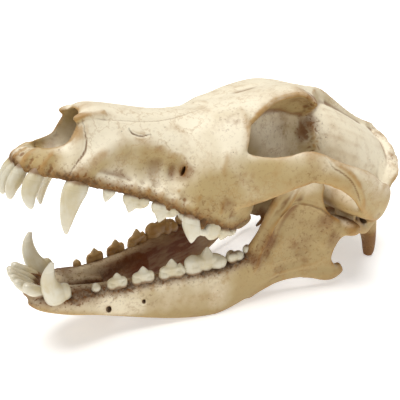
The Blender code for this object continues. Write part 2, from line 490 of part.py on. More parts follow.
def lay_jaw(clay, side):
    """One half of the lower jaw."""
    add_bar(clay, (
        (-3.2, 4.8, -0.4, 3.4, 2.4), (3, 8.2, -1.3, 7.2, 4.5), (11, 10.6, -2.4, 9.4, 6.0),
        (20, 12.0, -4.9, 9.0, 7.2), (30, 12.6, -7.5, 7.6, 8.5), (44, 14.4, -10.6, 6.4, 10.9),
        (60, 18.4, -13.0, 6.2, 13.4), (75, 22.6, -14.8, 6.2, 15.2), (90, 27.0, -15.6, 6.3, 16.2),
        (102, 30.4, -15.0, 6.2, 16.4), (114, 33.6, -12.4, 5.8, 15.8), (126, 36.8, -8.6, 4.8, 15.2),
        (134, 39.0, -6, 3.7, 13)), side=side, square=2.7)
    add_bar(clay, ((4, 3.6, -1.6, 3.6, 3.0), (16, 3.8, -4.9, 3.8, 5.0), (30, 4.4, -8.8, 4.2, 6.2),
                   (40, 6.0, -12.6, 3.4, 6.0)), side=side, square=2.6)
    outline = ((116, 2), (121, 12), (125, 23), (130, 33.5), (136, 43.5), (142, 51), (149, 56),
               (157, 56.5), (161.5, 51), (163, 43), (163, 34), (166, 26.5), (171, 21.5), (176, 18),
               (176.5, 9), (173, 1), (171.5, -6), (174.5, -13), (172, -20.5), (163, -21.0),
               (151, -19.0), (141, -19.8), (130, -23.5), (118, -27))
    add_plate(clay, outline, (126, 37.6), BLADE_TURN, JAW_BLADE, side)
    add_bar(clay, ((118, 35.2, 3, 3.4, 4), (123.6, 37.6, 14, 3.2, 3.4), (129, 39.6, 26, 2.9, 2.8),
                   (135.4, 41.4, 37, 2.7, 2.5), (143, 43.2, 47.5, 2.4, 2.4)), side=side, up=(0, 1, 0))
    add_bar(clay, ((112, 33.4, -24.2, 4.6, 4.0), (126, 37.6, -21.0, 4.1, 3.8), (140, 41.6, -16.6, 3.6, 3.4),
                   (154, 45.4, -15.6, 3.4, 3.4), (164, 48.2, -17.4, 3.4, 3.8)), side=side)
    add_bar(clay, ((160, 47.0, -15.0, 3.0, 5.4), (168, 49.0, -17.8, 3.5, 5.8),
                   (174.0, 50.2, -17.4, 3.5, 5.6), (179.0, 50.8, -15.4, 2.8, 4.0)), side=side)
    add_bar(clay, ((162, 47.4, 4, 3.4, 8), (170, 48.8, 9.5, 4.0, 7.0), (176.0, 49.6, 12.6, 5.4, 5.6)),
            side=side)
    add_bar(clay, ((-3.0, 0.6, 3.4, 3.0, 3.8), (-1.6, 5.0, 3.8, 3.2, 3.8), (2.4, 9.6, 3.6, 3.4, 3.8),
                   (7.0, 12.4, 2.0, 3.2, 3.6)), side=side, up=(0, 0, 1))
    add_bar(clay, ((176.6, 37.6, 12.6, 3.4, 2.8), (177.2, 40, 13.0, 5.2, 4.6), (177.8, 49, 13.4, 5.7, 5.4),
                   (178.4, 57, 13.8, 5.2, 4.6), (178.6, 61.4, 14.0, 3.2, 2.6)), side=side)


def open_jaw_holes(clay, side):
    """Cutters for the chin's nerve holes and the canal behind."""
    add_bar(clay, ((31.5, 25, -12.8, 1.5, 2.6), (36, 18.0, -11.8, 1.4, 2.5), (41, 15.0, -11, 1.0, 1.8)),
            side=side)
    add_bar(clay, ((51, 28, -12.4, 1.1, 1.8), (54.5, 23, -12, 1.1, 1.7), (58, 19.6, -11.6, 0.8, 1.2)),
            side=side)
    add_bar(clay, ((150, 38, -1, 1.8, 2.8), (143, 40.4, -3, 1.8, 2.8), (136, 40, -4, 1.2, 2)),
            side=side)


def lean_inward(points, side):
    """The jaw's lower rear border stands nearer the middle than its teeth do."""
    x, y, z = points.T
    rear = np.clip((x - 96) / 40, 0, 1) * (1 - 0.7 * np.clip((x - 152) / 20, 0, 1))
    points[:, 1] = y - side * LEAN * rear * np.clip(-z - 2, 0, None)


def sculpt_jaw(points, side):
    """The hollows for the chewing muscle."""
    for centre, radii, depth in (((149, 46, 20), (19, 12, 24), 2.2), ((146, 46, 0), (20, 12, 15), 2.2),
                                 ((118, 36, 12), (9, 14, 14), 1.0)):
        x, y, z = centre
        press(points, (x, y * side, z), radii, (0, -depth * side, 0))


def flat_chin(points, side):
    """The flat where the two halves of the jaw meet, with the gap left free."""
    inside = points[:, 1] * side < JAW_GAP / 2
    points[inside, 1] = side * JAW_GAP / 2


# From clay to solid

def to_world(thing, tilt, place):
    """Tilts a bone about y, sets it down and turns millimetres into metres, in its mesh."""
    rest = Matrix.Translation((place[0] - CENTRE_X, place[1], place[2] - FLOOR))
    thing.data.transform(Matrix.Scale(MM, 4) @ rest @ Matrix.Rotation(radians(tilt), 4, "Y"))


def level_feet(thing):
    """Presses what hangs below the floor up to a small flat at z = 0."""
    points = coordinates(thing)
    points[:, 2] = np.maximum(points[:, 2], 0.0)
    put_coordinates(thing, points)


def thin_out(thing, triangles):
    """A light mesh of about the given number of triangles."""
    thing.data.calc_loop_triangles()
    modifier = thing.modifiers.new("Thinned", "DECIMATE")
    modifier.ratio = triangles / len(thing.data.loop_triangles)
    modifier.use_collapse_triangulate = True
    settle(thing)


def finish(thing, name, colour, tilt, place, triangles):
    """Names the bone, poses it, thins it out and gives it its material."""
    to_world(thing, tilt, place)
    thin_out(thing, triangles)
    level_feet(thing)
    thing.name = name
    thing.data.name = name
    material = bpy.data.materials.new(name + " bone")
    material.use_nodes = True
    shader = material.node_tree.nodes["Principled BSDF"]
    shader.inputs["Base Color"].default_value = (*colour, 1)
    shader.inputs["Roughness"].default_value = ROUGHNESS
    thing.data.materials.clear()
    thing.data.materials.append(material)
    thing.data.shade_smooth()
    thing.data.set_sharp_from_angle(angle=radians(SHARP_ANGLE))


def with_teeth(bone, name, fronts, cheeks, down, sides):
    """The bone and its teeth, grown into one body."""
    clay = bmesh.new()
    clay.from_mesh(bone.data)
    for side in sides:
        add_teeth(clay, fronts, cheeks, down, side)
    whole = shell_object(name, clay)
    bpy.data.objects.remove(bone)
    unite(whole, VOXEL, 1)
    return whole


def make_cranium():
    """The cranium with its upper teeth."""
    clay = bmesh.new()
    for lay in (lay_muzzle, lay_brow, lay_braincase, lay_crests, lay_arches, lay_base):
        lay(clay)
    cranium = shell_object("cranium", clay)
    unite(cranium, VOXEL, CRANIUM_PASSES)
    points = coordinates(cranium)
    sculpt_cranium(points)
    put_coordinates(cranium, points)
    for opening in (open_nose, open_throat, open_small_holes):
        cutter = bmesh.new()
        opening(cutter)
        cut(cranium, cutter)
    cranium = with_teeth(cranium, "cranium", UPPER_FRONT, UPPER_TEETH, -1, (LEFT, RIGHT))
    finish(cranium, "cranium", CRANIUM_COLOUR, HEAD_TILT, HEAD_PLACE, CRANIUM_TRIANGLES)


def make_jaw(name, side):
    """Half of the lower jaw with its teeth."""
    clay = bmesh.new()
    lay_jaw(clay, side)
    jaw = shell_object(name, clay)
    unite(jaw, VOXEL, JAW_PASSES)
    points = coordinates(jaw)
    lean_inward(points, side)
    sculpt_jaw(points, side)
    flat_chin(points, side)
    put_coordinates(jaw, points)
    cutter = bmesh.new()
    open_jaw_holes(cutter, side)
    cut(jaw, cutter)
    jaw = with_teeth(jaw, name, LOWER_FRONT, LOWER_TEETH, 1, (side,))
    points = coordinates(jaw)
    flat_chin(points, side)
    put_coordinates(jaw, points)
    finish(jaw, name, JAW_COLOUR, JAW_TILT, (0, 0, 0), JAW_TRIANGLES)


def clear_scene():
    """Removes whatever the scene holds."""
    for thing in list(bpy.data.objects):
        bpy.data.objects.remove(thing)


def main():
    clear_scene()
    make_cranium()
    make_jaw("mandible_left", LEFT)
    make_jaw("mandible_right", RIGHT)


main()
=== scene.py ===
# %% [markdown]
# # A wolf skull, cell by cell
# The skull lies on its lower jaw with the mouth open. It is bone and tooth and nothing else: a
# cranium, the two halves of the lower jaw, and every tooth as a piece of its own, set in its socket.
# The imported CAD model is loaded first. It fixes where everything is, so nothing here moves it.

# %% Load the fixed frame
import bmesh
import bpy
import numpy as np
from math import cos, pi, radians, sin
from mathutils import Matrix, Vector
from mathutils.bvhtree import BVHTree


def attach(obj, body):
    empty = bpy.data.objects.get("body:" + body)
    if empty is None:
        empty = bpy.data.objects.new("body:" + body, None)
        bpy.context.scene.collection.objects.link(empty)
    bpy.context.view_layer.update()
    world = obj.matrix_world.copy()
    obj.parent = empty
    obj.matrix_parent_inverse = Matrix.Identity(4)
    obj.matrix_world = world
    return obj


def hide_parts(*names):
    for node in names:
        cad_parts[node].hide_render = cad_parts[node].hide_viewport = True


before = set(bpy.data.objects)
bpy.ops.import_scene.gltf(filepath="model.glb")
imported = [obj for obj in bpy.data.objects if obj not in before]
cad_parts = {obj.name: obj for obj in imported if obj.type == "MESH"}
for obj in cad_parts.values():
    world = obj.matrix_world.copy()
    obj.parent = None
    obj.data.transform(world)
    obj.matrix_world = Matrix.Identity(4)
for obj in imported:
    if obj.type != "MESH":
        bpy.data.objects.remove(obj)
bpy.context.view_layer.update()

# %% [markdown]
# ## Bone frames
# Each bone is easiest to measure on its own: x runs back from the front teeth, y to the animal's
# right, z up from the tooth sockets, all in millimetres. The last step tilts the bone into the pose
# and turns millimetres into metres, so the numbers below can be checked against a ruler on a skull.

# %% Sizes and pose
MM = 0.001
LEFT, RIGHT = -1, 1
HEAD_TILT, HEAD_PLACE = 23.4, (3.0, 0.0, 73.8)
JAW_TILT, JAW_PLACE = 2.2, (0.0, 0.0, 0.0)
CENTRE_X, FLOOR = 122.5, -33.9
MUZZLE_HALF, ZYGOMA_HALF, SKULL_LENGTH = 23.0, 67.0, 242.0
JAW_GAP = 0.4
BONE_VOXEL, TOOTH_VOXEL = 0.9, 0.36
CRANIUM_TRIANGLES, JAW_TRIANGLES, TOOTH_TRIANGLES = 195000, 120000, 9000
AROUND = 28


def rest_matrix(tilt, place):
    """From a bone's own millimetres to metres on the floor."""
    rest = Matrix.Translation((place[0] - CENTRE_X, place[1], place[2] - FLOOR))
    return Matrix.Scale(MM, 4) @ rest @ Matrix.Rotation(radians(tilt), 4, "Y")


HEAD_REST = rest_matrix(HEAD_TILT, HEAD_PLACE)
JAW_REST = rest_matrix(JAW_TILT, JAW_PLACE)
print("front of the palate sits at", [round(v, 4) for v in HEAD_REST.translation])

# %% [markdown]
# ## Clay
# A skull has no flat faces and no straight edges, so it is built like a clay study: rolls, balls
# and slabs are laid over each other, one skin is grown round them by a voxel remesh, and the skin
# is smoothed. A roll is a grid whose rows are set out as rings along a curve and then welded.

# %% Rolls
def eased(rows, steps=5):
    """More rows between the given ones, on a smooth curve through them."""
    rows = np.array(rows, float)
    padded = np.vstack((2 * rows[0] - rows[1], rows, 2 * rows[-1] - rows[-2]))
    out = []
    for before, start, end, after in zip(padded, padded[1:], padded[2:], padded[3:]):
        for t in np.arange(steps) / steps:
            out.append(start + 0.5 * t * (end - before
                                          + t * (2 * before - 5 * start + 4 * end - after
                                                 + t * (3 * (start - end) + after - before))))
    out.append(rows[-1])
    return np.array(out)


def add_tube(clay, rings):
    """A closed body through rings of points: a grid rolled up, welded and capped."""
    rows, around = len(rings), len(rings[0])
    grid = bmesh.ops.create_grid(clay, x_segments=around, y_segments=rows - 1, size=1.0)["verts"]
    for index, vert in enumerate(grid):
        row, column = divmod(index, around + 1)
        vert.co = rings[row][column % around]
    bmesh.ops.remove_doubles(clay, verts=grid, dist=1e-4)
    rim = {edge for vert in grid if vert.is_valid for edge in vert.link_edges if edge.is_boundary}
    bmesh.ops.holes_fill(clay, edges=list(rim))


def oval(centre, across, rise, half_width, half_height, square=2.0):
    """One ring: an ellipse, or a boxier figure when square is over 2."""
    ring = []
    for k in range(AROUND):
        c, s = cos(2 * pi * k / AROUND), sin(2 * pi * k / AROUND)
        ring.append(centre + across * (half_width * np.sign(c) * abs(c) ** (2 / square))
                    + rise * (half_height * np.sign(s) * abs(s) ** (2 / square)))
    return ring


def add_bar(clay, rows, side=1, up=(0, 0, 1), square=2.0, steps=4):
    """A roll through rows of x, y, z, half width and half height; side mirrors y."""
    rows = eased(rows, steps)
    path = rows[:, :3] * (1, side, 1)
    lift = np.array(up, float) * (1, side, 1)
    rings = []
    for centre, run, (half_width, half_height) in zip(path, np.gradient(path, axis=0), rows[:, 3:5]):
        across = np.cross(lift, run)
        across /= np.linalg.norm(across)
        rise = np.cross(run, across)
        rise /= np.linalg.norm(rise)
        rings.append(oval(centre, across, rise, half_width, half_height, square))
    add_tube(clay, rings)


def add_pair(clay, rows, **options):
    """The same roll on both sides."""
    for side in (LEFT, RIGHT):
        add_bar(clay, rows, side=side, **options)


print("rolls ready,", AROUND, "points round each")

# %% [markdown]
# ## Balls, frames and slabs
# A swelling is a ball, squashed and turned. A face or a roof is easier as a row of upright frames:
# each is half an outline, mirrored and joined to the next. A thin blade is an outline pulled out
# into a slab, which keeps its faces flat.

# %% Balls, frames and slabs
def add_balls(clay, centre, radii, turn=(0, 0, 0)):
    """The same ellipsoid on both sides, turned by degrees about x, y and z."""
    for side in (LEFT, RIGHT):
        place = Matrix.Translation((centre[0], centre[1] * side, centre[2]))
        for axis, angle in zip("XYZ", (turn[0] * side, turn[1], turn[2] * side)):
            place = place @ Matrix.Rotation(radians(angle), 4, axis)
        bmesh.ops.create_icosphere(clay, subdivisions=3, radius=1.0,
                                   matrix=place @ Matrix.Diagonal((*radii, 1)))


def add_sections(clay, stations, steps=4):
    """A body through upright cross-sections, alike on both sides.

    A station is x, then y and z of the half outline from the top middle down to the bottom."""
    rings = []
    for row in eased(stations, steps):
        half = row[1:].reshape(-1, 2)
        outline = np.vstack((half, half[-2:0:-1] * (-1, 1)))
        closed = eased(np.vstack((outline[-1], outline, outline[:2])), 4)[4:-5]
        rings.append([(row[0], y, z) for y, z in closed])
    add_tube(clay, rings)


def add_plate(clay, outline, base, turn, thickness, side):
    """A flat slab: an outline of x, z pairs, eased and extruded, then turned about z at base."""
    points = eased([outline[-1], *outline, outline[0], outline[1]], 4)[4:-5]
    part = bmesh.new()
    corners = [part.verts.new((x - base[0], -thickness / 2, z)) for x, z in points]
    face = part.faces.new(corners)
    pulled = bmesh.ops.extrude_face_region(part, geom=[face])["geom"]
    moved = [item for item in pulled if isinstance(item, bmesh.types.BMVert)]
    bmesh.ops.translate(part, verts=moved, vec=(0, thickness, 0))
    bmesh.ops.rotate(part, verts=part.verts, matrix=Matrix.Rotation(radians(turn), 3, "Z"))
    bmesh.ops.translate(part, verts=part.verts, vec=(base[0], base[1], 0))
    bmesh.ops.scale(part, verts=part.verts, vec=(1, side, 1))
    spare = bpy.data.meshes.new("slab")
    part.to_mesh(spare)
    part.free()
    clay.from_mesh(spare)
    bpy.data.meshes.remove(spare)


print("clay tools ready")

# %% [markdown]
# ## Points as arrays
# A skin has some hundred thousand points. Reading them into one array and writing them back once is
# many times quicker than visiting each point in a loop.

# %% Reading and writing points
def coordinates(thing):
    """The mesh's points as an array."""
    points = np.empty(len(thing.data.vertices) * 3, np.float32)
    thing.data.vertices.foreach_get("co", points)
    return points.reshape(-1, 3).astype(float)


def put_coordinates(thing, points):
    """Writes the points back to the mesh."""
    thing.data.vertices.foreach_set("co", points.astype(np.float32).ravel())
    thing.data.update()


def surface_normals(thing):
    """The mesh's point normals as an array."""
    normals = np.empty(len(thing.data.vertices) * 3, np.float32)
    thing.data.vertex_normals.foreach_get("vector", normals)
    return normals.reshape(-1, 3).astype(float)


def mesh_edges(thing):
    """Pairs of point numbers."""
    pairs = np.empty(len(thing.data.edges) * 2, np.int32)
    thing.data.edges.foreach_get("vertices", pairs)
    return pairs.reshape(-1, 2)


def add_mask(thing, name, values):
    """Stores one number per point for a material to read."""
    mask = thing.data.attributes.new(name, "FLOAT", "POINT")
    mask.data.foreach_set("value", np.asarray(values, np.float32))


print("array helpers ready")

# %% [markdown]
# ## From clay to one skin
# The Remesh modifier in voxel mode drops everything that is inside another shell and keeps one
# closed skin. Its voxel is the finest thing the skin can show. Smooth then melts the joins between
# the rolls. Holes are cut with an exact Boolean, so their rims stay crisp.

# %% One skin
def shell_object(name, clay):
    """A mesh object from clay, with every shell facing out."""
    bmesh.ops.recalc_face_normals(clay, faces=clay.faces)
    mesh = bpy.data.meshes.new(name)
    clay.to_mesh(mesh)
    clay.free()
    thing = bpy.data.objects.new(name, mesh)
    bpy.context.scene.collection.objects.link(thing)
    return thing


def settle(thing):
    """The object's modifiers, made part of its mesh."""
    bpy.context.view_layer.update()
    seen = thing.evaluated_get(bpy.context.evaluated_depsgraph_get())
    mesh = bpy.data.meshes.new_from_object(seen)
    old = thing.data
    thing.modifiers.clear()
    thing.data = mesh
    bpy.data.meshes.remove(old)


def unite(thing, voxel, passes):
    """One skin round all the shells, then smoothed."""
    remesh = thing.modifiers.new("One skin", "REMESH")
    remesh.mode = "VOXEL"
    remesh.voxel_size = voxel
    remesh.adaptivity = 0.0
    if passes:
        smooth = thing.modifiers.new("Smoothed", "SMOOTH")
        smooth.factor = 0.5
        smooth.iterations = passes
    settle(thing)


def soften(thing, passes, kept_spots=()):
    """Smooths the skin, less so at kept spots, which are given as centre, radius and share kept."""
    points, edges = coordinates(thing), mesh_edges(thing)
    free = np.ones(len(points))
    for centre, radius, share in kept_spots:
        for side in (LEFT, RIGHT):
            away = np.linalg.norm(points - np.array(centre, float) * (1, side, 1), axis=1)
            free = np.minimum(free, 1 - share * np.exp(-(away / radius) ** 4))
    degree = np.bincount(edges.ravel(), minlength=len(points))[:, None]
    for _ in range(passes):
        total = np.column_stack([np.bincount(edges[:, 0], points[edges[:, 1], k], len(points))
                                 + np.bincount(edges[:, 1], points[edges[:, 0], k], len(points))
                                 for k in range(3)])
        points += 0.5 * free[:, None] * (total / degree - points)
    put_coordinates(thing, points)


def cut(thing, cutter_clay):
    """Takes the cutter's shells out of the object."""
    cutter = shell_object("cutter", cutter_clay)
    unite(cutter, BONE_VOXEL, 1)
    boolean = thing.modifiers.new("Cut", "BOOLEAN")
    boolean.operation = "DIFFERENCE"
    boolean.solver = "EXACT"
    boolean.object = cutter
    settle(thing)
    mesh = cutter.data
    bpy.data.objects.remove(cutter)
    bpy.data.meshes.remove(mesh)


def thin_out(thing, triangles):
    """A lighter mesh, where the skin has more triangles than the limit."""
    thing.data.calc_loop_triangles()
    count = len(thing.data.loop_triangles)
    if count > triangles:
        modifier = thing.modifiers.new("Thinned", "DECIMATE")
        modifier.ratio = triangles / count
        settle(thing)
    return count


print("bone skin voxel", BONE_VOXEL, "mm; tooth skin voxel", TOOTH_VOXEL, "mm")

# %% [markdown]
# ## Sculpting in code
# A brush is a small sum over all points: how near is each point to the brush, and how far does it
# move. The simplest one pushes a round patch one way and fades to nothing at its rim.

# %% Press
def press(points, centre, radii, push, side=1):
    """Moves the points round centre by push, fading to nothing at the radii."""
    flip = np.array((1, side, 1), float)
    reach = np.sum(((points - centre * flip) / np.array(radii, float)) ** 2, axis=1)
    points += (np.clip(1 - reach, 0, 1) ** 2)[:, None] * (np.array(push, float) * flip)


def press_both(points, centre, radii, push):
    """The same press on both sides."""
    for side in (LEFT, RIGHT):
        press(points, np.array(centre, float), radii, push, side)


print("press ready")

# %% [markdown]
# ## Lines on the skin
# A line is given by a few spots beside the skin. Each spot first moves to the nearest point of the
# skin, because a line that hangs a little above it would leave no mark. A stroke then moves the
# points along their normals, out for a ridge and in for a groove, and a painted line only colours.

# %% Strokes and painted lines
def line_distance(points, path):
    """Each point's distance to a path, and how far along the path the nearest spot is, 0 to 1."""
    best = np.full(len(points), 1e9)
    along = np.zeros(len(points))
    spans = np.linalg.norm(np.diff(path, axis=0), axis=1)
    total = max(spans.sum(), 1e-9)
    done = 0.0
    for start, end, span in zip(path, path[1:], spans):
        run = end - start
        t = np.clip((points - start) @ run / max(run @ run, 1e-12), 0, 1)
        away = np.linalg.norm(points - start - t[:, None] * run, axis=1)
        nearer = away < best
        best[nearer] = away[nearer]
        along[nearer] = (done + t[nearer] * span) / total
        done += span
    return best, along


REACH = 4.0        # how far from a path's box, in millimetres, points are still looked at


def on_skin(points, path):
    """The path with each spot moved to the nearest point of the skin, then evened out."""
    found = np.array([points[np.argmin(((points - spot) ** 2).sum(axis=1))] for spot in path])
    found[1:-1] = (found[:-2] + found[1:-1] + found[2:]) / 3
    return found


def near_path(points, path, margin):
    """Which points are in the box round a path."""
    return np.all((points > path.min(0) - margin) & (points < path.max(0) + margin), axis=1)


def stroke(points, normals, path, width, height, side=1, ends=True):
    """A ridge along a path on the skin, or a groove when height is negative."""
    path = eased(np.array(path, float) * (1, side, 1), 4)
    near = near_path(points, path, 3 * width + REACH)
    path = on_skin(points[near], path)
    away, along = line_distance(points[near], path)
    strength = np.exp(-(away / width) ** 2)
    if ends:
        strength *= np.clip(4 * np.minimum(along, 1 - along) + 0.15, 0, 1)
    points[near] += (strength * height)[:, None] * normals[near]


def paint(mask, points, path, width, side=1, strength=1.0, wobble=0.0):
    """Adds a painted line to a mask, with a sideways wobble for a toothed seam."""
    path = eased(np.array(path, float) * (1, side, 1), 6)
    near = near_path(points, path, 3 * width + REACH)
    if not near.any():
        return
    path = on_skin(points[near], path)
    if wobble:
        phase = np.arange(len(path))
        shake = np.sin(phase * 2.1) + 0.6 * np.sin(phase * 3.7 + 1)
        path = path + (shake * wobble)[:, None] * np.array((0.6, 0.1, 0.75))
    away, _ = line_distance(points[near], path)
    mask[near] = np.maximum(mask[near], strength * np.exp(-(away / width) ** 2))


print("brushes ready")

# %% [markdown]
# ## The face and the forehead
# A wolf's muzzle is a long box with rounded edges. It is drawn as a row of upright cross-sections
# from the front teeth to the eyes, as a boat builder draws frames. The forehead is a second row of
# frames that spreads to the hind corners over the eyes and narrows into the crown's keel.

# %% Lay the face
def lay_muzzle(clay):
    """Face from the front teeth to the eye sockets, through cross-sections."""
    add_pair(clay, ((36, 8.8, 35.2, 4, 2.4), (28, 10.4, 32.6, 3.2, 2.0), (23.0, 11.6, 30.4, 2.4, 1.6),
                    (20.6, 12.0, 28.6, 1.2, 1.2)))
    add_pair(clay, ((35, 20.8, 3.0, 3.8, 4.2), (44, 21.4, 2.6, 3.5, 3.8), (58, 23.2, 2.0, 3.7, 3.8),
                    (74, 27.2, 1.0, 3.9, 3.9), (86, 32.4, -0.8, 4.6, 4.2), (98, 35.6, -2.4, 5.0, 4.6),
                    (106, 36.0, -4.4, 4.8, 5.0), (113, 35.2, -4.2, 4.6, 5.0), (119, 32.8, -1.6, 4.4, 4.4),
                    (127, 29.0, 0.4, 4.2, 4.0)), square=2.4)
    add_pair(clay, ((26.6, 20.6, 2.0, 4.6, 7.2), (29.0, 19.4, 6.5, 4.2, 6.4), (34, 17.0, 14, 3.6, 5.2),
                    (41, 14.8, 20.5, 2.6, 4.0)), up=(1, 0, 0))
    for x, y in ((3.0, 2.7), (4.8, 8.0), (10.2, 13.8)):
        add_pair(clay, ((x, y, -0.4, 3.0, 3.6), (x + 2.2, y * 0.94, 4.5, 2.8, 3.2),
                        (x + 5.4, y * 0.85, 9, 2.0, 2.4)),
                 up=(1, 0, 0))
    add_sections(clay, (
        (-0.5, 0, 4.5, 2.5, 4.2, 4.5, 3, 5.0, 0.8, 4.5, -1.2, 2.5, -1.6, 0, -1.6),
        (4, 0, 8, 4.0, 8.0, 8.5, 6.2, 11.0, 2.6, 11.2, -1.2, 7.0, -1.8, 0, -1.5),
        (10, 0, 11.5, 7.0, 11.3, 12.4, 9.4, 16.0, 4.4, 16.6, -0.8, 11, -1.4, 0, -0.6),
        (17, 0, 15.5, 8.5, 15.3, 14.6, 13, 19.0, 6.4, 20.4, 0.2, 14, -0.4, 0, 0.6),
        (20.5, 0, 19.5, 8.5, 19.4, 14.6, 16.4, 19.6, 9, MUZZLE_HALF, 0.8, 16, 0, 0, 1.2),
        (23, 0, 29, 8.4, 28.6, 14.8, 24, 19.6, 12, 24.0, 0.8, 17, 0.4, 0, 1.7),
        (26, 0, 36.0, 8.4, 34.8, 14.6, 28, 19.4, 14, 24.4, 0.8, 17, 0.6, 0, 2.1),
        (34, 0, 38.8, 8.4, 37.2, 14.2, 30.2, 18.8, 16, 23.4, 0.2, 17, 0.6, 0, 2.7),
        (46, 0, 40.6, 8.6, 38.6, 16.4, 30.0, 18.8, 17, 22.6, -0.2, 16, 0.9, 0, 3.4),
        (58, 0, 42.0, 9.0, 40.0, 18.4, 30.4, 20.2, 17.8, 25.0, -0.8, 18, 0.8, 0, 3.8),
        (70, 0, 44.0, 9.4, 42.0, 20.0, 31.6, 22.8, 18.6, 28.8, -1.8, 21, 0.2, 0, 4.0),
        (81, 0, 47.2, 9.8, 45.8, 21.4, 36.0, 28.4, 20.5, 33.8, -3.6, 25.5, -1.2, 0, 3.8),
        (91, 0, 50.4, 11.6, 49.6, 24.6, 42.4, 34.8, 23.5, 38.4, -4.8, 28, -2.0, 0, 3.4),
        (100, 0, 55.4, 13.6, 55.2, 28.6, 47.6, 38.6, 26.5, 39.8, -4.6, 28.5, -2.2, 0, 3.0),
        (107, 0, 59.8, 15.0, 59.8, 31.6, 52.0, 39.8, 29.0, 38.8, -4.2, 27, -2.0, 0, 2.6),
        (110, 0, 62.0, 15.0, 62.0, 29.0, 52.0, 34.0, 27.0, 36.4, -3.8, 26, -1.6, 0, 2.4)))


def lay_brow(clay):
    """Forehead roof, out to the rims over the eyes and their hind corners, then in to the crest."""
    add_sections(clay, (
        (101, 0, 55.8, 13.5, 55.8, 27.0, 48.0, 20.0, 36, 0, 32),
        (107, 0, 60.0, 15.0, 60.0, 31.6, 50.4, 23.4, 41, 0, 36),
        (113, 0, 64.0, 16.0, 64.0, 30.0, 55.4, 23.0, 48, 0, 40),
        (120, 0, 68.4, 16.0, 68.6, 27.2, 62.4, 20.8, 56, 0, 46),
        (128, 0, 72.4, 16.0, 72.8, 25.4, 69.0, 19.8, 63.4, 0, 50),
        (136, 0, 76.0, 16.0, 76.6, 26.6, 73.2, 20.5, 68, 0, 54),
        (143, 0, 78.6, 17.0, 79.2, 29.8, 75.4, 22.5, 71, 0, 56),
        (149, 0, 80.2, 17.5, 80.2, 34.0, 72.0, 24.0, 69.4, 0, 58),
        (153, 0, 81.0, 15.5, 80.6, 30.6, 71.6, 22.0, 68.5, 0, 59),
        (159, 0, 81.8, 12.0, 80.8, 21.0, 73.6, 17.0, 66.0, 0, 60),
        (167, 0, 83.0, 7.0, 81.8, 13.0, 76.4, 13.0, 66.0, 0, 60),
        (176, 0, 84.6, 2.6, 83.4, 6.0, 78.0, 9.0, 67.0, 0, 60),
        (184, 0, 84.2, 1.4, 82.6, 3.6, 77.0, 7.0, 67.0, 0, 60)))


print("face frames defined")

# %% [markdown]
# ## Braincase, crests and cheek arches
# Behind the eyes the skull narrows to a waist and swells again over the brain. A keel along the
# crown and a collar round the back anchor the biting and neck muscles. The cheek arches are flat
# straps that stand well out from the skull, with air behind them where the jaw muscle ran.

# %% Lay the back of the head
def lay_braincase(clay):
    """Walls between the eyes, then the egg of the braincase."""
    add_bar(clay, (
        (100, 0, 31, 20, 24), (116, 0, 34, 19.5, 28), (130, 0, 38, 18.5, 29), (144, 0, 40, 18.0, 31),
        (157, 0, 41, 19.0, 33), (168, 0, 41, 23.0, 34), (180, 0, 41, 29.5, 34.8),
        (194, 0, 40.4, 33.2, 34.6), (208, 0, 39.6, 34.2, 33.4), (220, 0, 39.2, 33.6, 32.0),
        (230, 0, 39, 31.0, 30.0), (237, 0, 39, 25.0, 25.0)), square=2.25)
    add_bar(clay, (
        (112, 0, 13, 15, 6), (130, 0, 13, 12.5, 4), (150, 0, 11, 12, 4), (170, 0, 10, 13, 4.5),
        (190, 0, 9.5, 14, 4.5), (210, 0, 9.0, 14, 4.5), (226, 0, 9.5, 13.5, 5),
        (238, 0, 11.5, 12, 4)), square=3.0)


def lay_crests(clay):
    """Keel along the crown and the collar round the back of the head."""
    add_bar(clay, (
        (170, 0, 78, 3.0, 5.5), (180, 0, 78.6, 2.4, 6.4), (192, 0, 75.8, 2.2, 6.6),
        (208, 0, 72.0, 2.2, 6.4), (222, 0, 69.6, 2.4, 6.4), (233, 0, 69.0, 3.2, 6.4),
        (SKULL_LENGTH - 1.5, 0, 70.6, 3.6, 5.2)), square=2.2)
    add_pair(clay, (
        (238.5, -3, 69, 2.4, 6.5), (238.0, 8, 66.4, 2.4, 6.5), (236.5, 18, 60.6, 2.2, 7.0),
        (234.5, 27, 54.6, 2.2, 7.4), (232.0, 33.5, 48, 2.2, 7.0), (229.0, 36, 40, 2.3, 6.2),
        (225.0, 36.5, 31, 2.6, 5.6), (221.0, 36.5, 22, 3.4, 5.6), (219.0, 35.5, 14, 4.5, 5.5)),
        up=(0.75, 0.55, 0.5))


